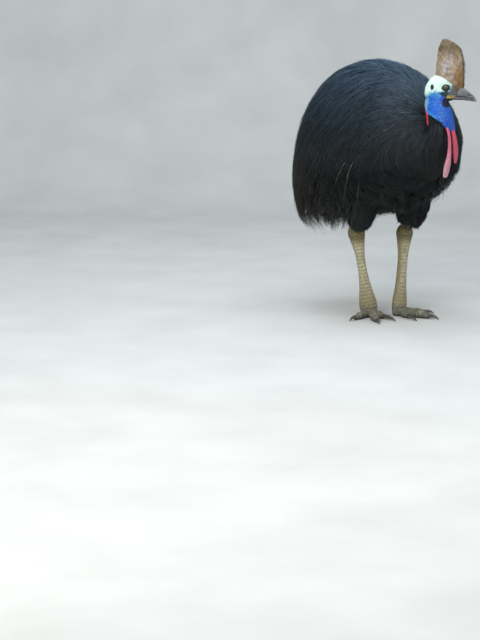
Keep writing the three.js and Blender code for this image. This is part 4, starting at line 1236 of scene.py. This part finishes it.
# Trousers: strands that hang around each thigh and drumstick and end just above the hock. They
# are rooted in the skin of the thigh, and below the hem they hang free and gather inwards.
TROUSER_TUFTS = 400
TROUSER_STRAND_WIDTH = 0.0024
TROUSERS_HEM = 0.86
HEM_FALL = 0.24
HEM_GATHER = 0.16
for name, leg in LEGS.items():
    place = trousers_place(leg)
    t = rng.uniform(0.10, 0.86, TROUSER_TUFTS)
    angle = rng.uniform(0, 2 * math.pi, TROUSER_TUFTS)
    length = rng.uniform(0.18, 0.42, (TROUSER_TUFTS, 1))
    lowest = 0.955 - 0.17 * rng.random((TROUSER_TUFTS, 1)) ** 1.5
    t_path = np.minimum(t[:, None] + length * share, lowest - 0.06 * (1 - share))
    hem = np.minimum(t_path, TROUSERS_HEM)
    knee, hock = (np.array(leg[at]) * MM for at in ("knee", "hock"))
    fall = unit(unit(hock - knee) + [0, 0, -1.0]) * HEM_FALL
    beyond = (t_path - hem)[..., None] * fall
    turn = angle[:, None] + rng.normal(0, 0.12, (TROUSER_TUFTS, 1)) * share
    depth = 0.016 * (1 - smoothstep(share, 0, 0.5)) + rng.uniform(0.0, 0.006, (TROUSER_TUFTS, 1))
    inner, outer = place(hem, turn, -depth), place(hem, turn, 0.01 - depth)
    outs = unit(outer - inner)
    paths = inner + beyond - outs * ((t_path - hem) * HEM_GATHER)[..., None]
    leg_paths, leg_outs = tuft_strands(paths, outs, 0.008, 0.003, 0.10)
    n_strands = len(leg_paths)
    roots = np.repeat(unwrapped(t, angle), TUFT_STRANDS, axis=0)
    widths = TROUSER_STRAND_WIDTH * rng.uniform(0.65, 1.3, n_strands)
    tones = rng.uniform(0, 1.0, n_strands)
    trousers = strands_mesh("feathers_thigh_" + name, leg_paths, leg_outs, widths, roots, tones)
    trousers.data.materials.append(feather_look)
    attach(trousers, "root")


# Wings: small stubs under the coat, each with a few bare quills of dull horn that curve out and
# down over the flank. Every second quill stands clear, and the others lie under the feathers.
WING = {"place": [0.214, -0.110, 0.735], "half": [0.024, 0.066, 0.042], "quills": 5, "clear": 0.030}
QUILL = {"length": 0.215, "root": 0.0026, "tip": 0.0006}
QUILL_PALE = (0.085, 0.082, 0.064)
QUILL_DARK = (0.020, 0.019, 0.018)
quill_look, add, feed = shader("quill")
space = add("ShaderNodeTexCoord").outputs["Object"]
worn = speckle(add, space, 34.0, 4.0)
feed("Base Color", ramp(add, worn, [(0.42, QUILL_DARK), (0.66, QUILL_PALE)]))
feed("Roughness", 0.45)
for name, side in (("right", -1), ("left", 1)):
    x, y, z = WING["place"]
    stub_half = np.array(WING["half"])

    def stub(share, angle, middle=np.array([side * x, y, z]) + SHIFT):
        turn = math.pi * share
        point = [np.cos(turn), np.sin(turn) * np.cos(angle), np.sin(turn) * np.sin(angle)]
        return middle + np.stack(np.broadcast_arrays(*point), -1) * stub_half

    wing = closed("wing_quills_" + name, 24, stub, np.linspace(0, 1, 17))
    for i in range(WING["quills"]):
        part = i / (WING["quills"] - 1)
        clear = WING["clear"] * (1 if i % 2 else -0.3)
        lean = math.radians(lerp(10, 42, part))
        reach = QUILL["length"] * lerp(1, 0.75, part)
        start_at = np.array([side * (x + WING["half"][0] - 0.008), y + lerp(-0.035, 0.035, part), z - 0.032])
        run = np.array([0, math.sin(lean), -math.cos(lean)])
        points = [start_at + SHIFT + run * reach * far + np.array([side * bulge, 0, 0])
                  for far, bulge in ((-0.05, -0.004), (0.25, clear * 0.8), (0.6, clear), (1, clear * 0.8))]
        sizes = [[0, QUILL["root"], QUILL["root"]], [1, QUILL["tip"], QUILL["tip"]]]
        wing = united(wing, closed("quill", 10, limb(points, sizes, [0, 1, 0]), eased(40)))
    wing.data.shade_smooth()
    wing.name = "wing_quills_" + name
    wing.data.materials.clear()
    wing.data.materials.append(quill_look)
    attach(wing, "root")
    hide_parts("wing_" + name)


# Claws: dark curved horn let into the end of each toe, the inner one a long dagger. Each is a cone
# that bends down and ends just above the floor.
CLAW_DARK = (0.022, 0.019, 0.017)
CLAW_WORN = (0.130, 0.110, 0.085)
CLAW_LOWEST = 0.0003
claw_look, add, feed = shader("claw_horn")
space = add("ShaderNodeTexCoord").outputs["Object"]
worn = speckle(add, space, 220.0, 6.0)
feed("Base Color", ramp(add, worn, [(0.35, CLAW_DARK), (0.75, CLAW_WORN)]))
feed("Roughness", ranged(add, worn, 0.30, 0.55))
feed("Normal", relief(add, worn, 0.3, 0.0005))
for leg_name, leg in LEGS.items():
    for toe_name, size in TOES.items():
        ahead, _, tip = toe_line(leg, size)
        reach, radius = size[3], size[4]
        arch = ((-0.014, 0.013), (reach * 0.35, 0.014), (reach * 0.7, 0.010), (reach, 0.003))
        points = [tip + ahead * far + [0, 0, high] for far, high in arch]
        sizes = [[0, radius, radius * 0.9], [0.5, radius * 0.75, radius * 0.7], [1, 0.0012, 0.0012]]
        place = limb(points, sizes, [ahead[1], -ahead[0], 0])
        claw = closed(f"claw_horn_{toe_name}_{leg_name}", 28, place, eased(44))
        set_points(claw, above_floor(points_of(claw), CLAW_LOWEST))
        claw.data.materials.append(claw_look)
        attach(claw, "root")
        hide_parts(f"claw_{toe_name}_{leg_name}")


# Stage: a plain pale floor that curves up far behind the bird, three soft lights and the camera.
# None of it is part of the bird.
FLOOR_END = 3.2
BEND = 1.6
CAMERA_PLACE = (-4.702, -6.472, 1.483)
CAMERA_AHEAD = (0.5158, 0.8366, -0.1848)
floor_look, add, feed = shader("floor")
space = add("ShaderNodeTexCoord").outputs["Object"]
cloudy = speckle(add, space, 3.0, 5.0)
feed("Base Color", ramp(add, cloudy, [(0.3, (0.50, 0.49, 0.47)), (0.7, (0.56, 0.55, 0.53))]))
feed("Roughness", 0.9)
outline = [[-12, 0], [FLOOR_END, 0]]
for turn in np.linspace(0.05, math.pi / 2, 24):
    outline.append([FLOOR_END + BEND * math.sin(turn), BEND - BEND * math.cos(turn)])
outline.append([FLOOR_END + BEND, 9.0])
away = np.array([0.525, 0.851, 0.0])
across = np.array([0.851, -0.525, 0.0])
points = [away * far + across * side + [0, 0, high] for far, high in outline for side in (-14, 14)]
faces = [[2 * k, 2 * k + 1, 2 * k + 3, 2 * k + 2] for k in range(len(outline) - 1)]
floor = mesh_object("floor", points, faces)
floor.data.materials.append(floor_look)
floor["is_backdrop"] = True
world = bpy.data.worlds.new("studio")
world.use_nodes = True
world.node_tree.nodes["Background"].inputs["Color"].default_value = (0.72, 0.84, 0.92, 1)
world.node_tree.nodes["Background"].inputs["Strength"].default_value = 0.75
bpy.context.scene.world = world
bpy.context.scene.view_settings.view_transform = "Standard"


def light(name, place, aim, size, power, colour):
    lamp = bpy.data.lights.new(name, "AREA")
    lamp.shape = "RECTANGLE"
    lamp.size, lamp.size_y = size
    lamp.energy = power
    lamp.color = colour
    made = bpy.data.objects.new(name, lamp)
    bpy.context.scene.collection.objects.link(made)
    made.location = place
    made.rotation_euler = (Vector(aim) - Vector(place)).to_track_quat("-Z", "Y").to_euler()


light("sky", (-0.6, -0.4, 4.2), (0, 0, 0.6), (4.0, 4.0), 150, (0.86, 0.93, 1.0))
light("key", (-3.6, -2.6, 3.0), (0, 0, 0.7), (2.2, 2.2), 150, (1.0, 0.97, 0.92))
light("fill", (3.0, -3.6, 1.6), (0.1, -0.2, 0.7), (2.4, 2.4), 45, (1.0, 0.98, 0.96))

camera = bpy.data.objects.new("camera", bpy.data.cameras.new("camera"))
bpy.context.scene.collection.objects.link(camera)
camera.location = Vector(CAMERA_PLACE) + Vector(SHIFT)
camera.rotation_euler = Vector(CAMERA_AHEAD).to_track_quat("-Z", "Y").to_euler()
camera.data.sensor_width = 36
camera.data.lens = 107.7
bpy.context.scene.camera = camera

sizes = {"cad": [list(map(float, v)) for v in cad_bounds], "visual": [list(map(float, v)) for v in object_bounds()]}
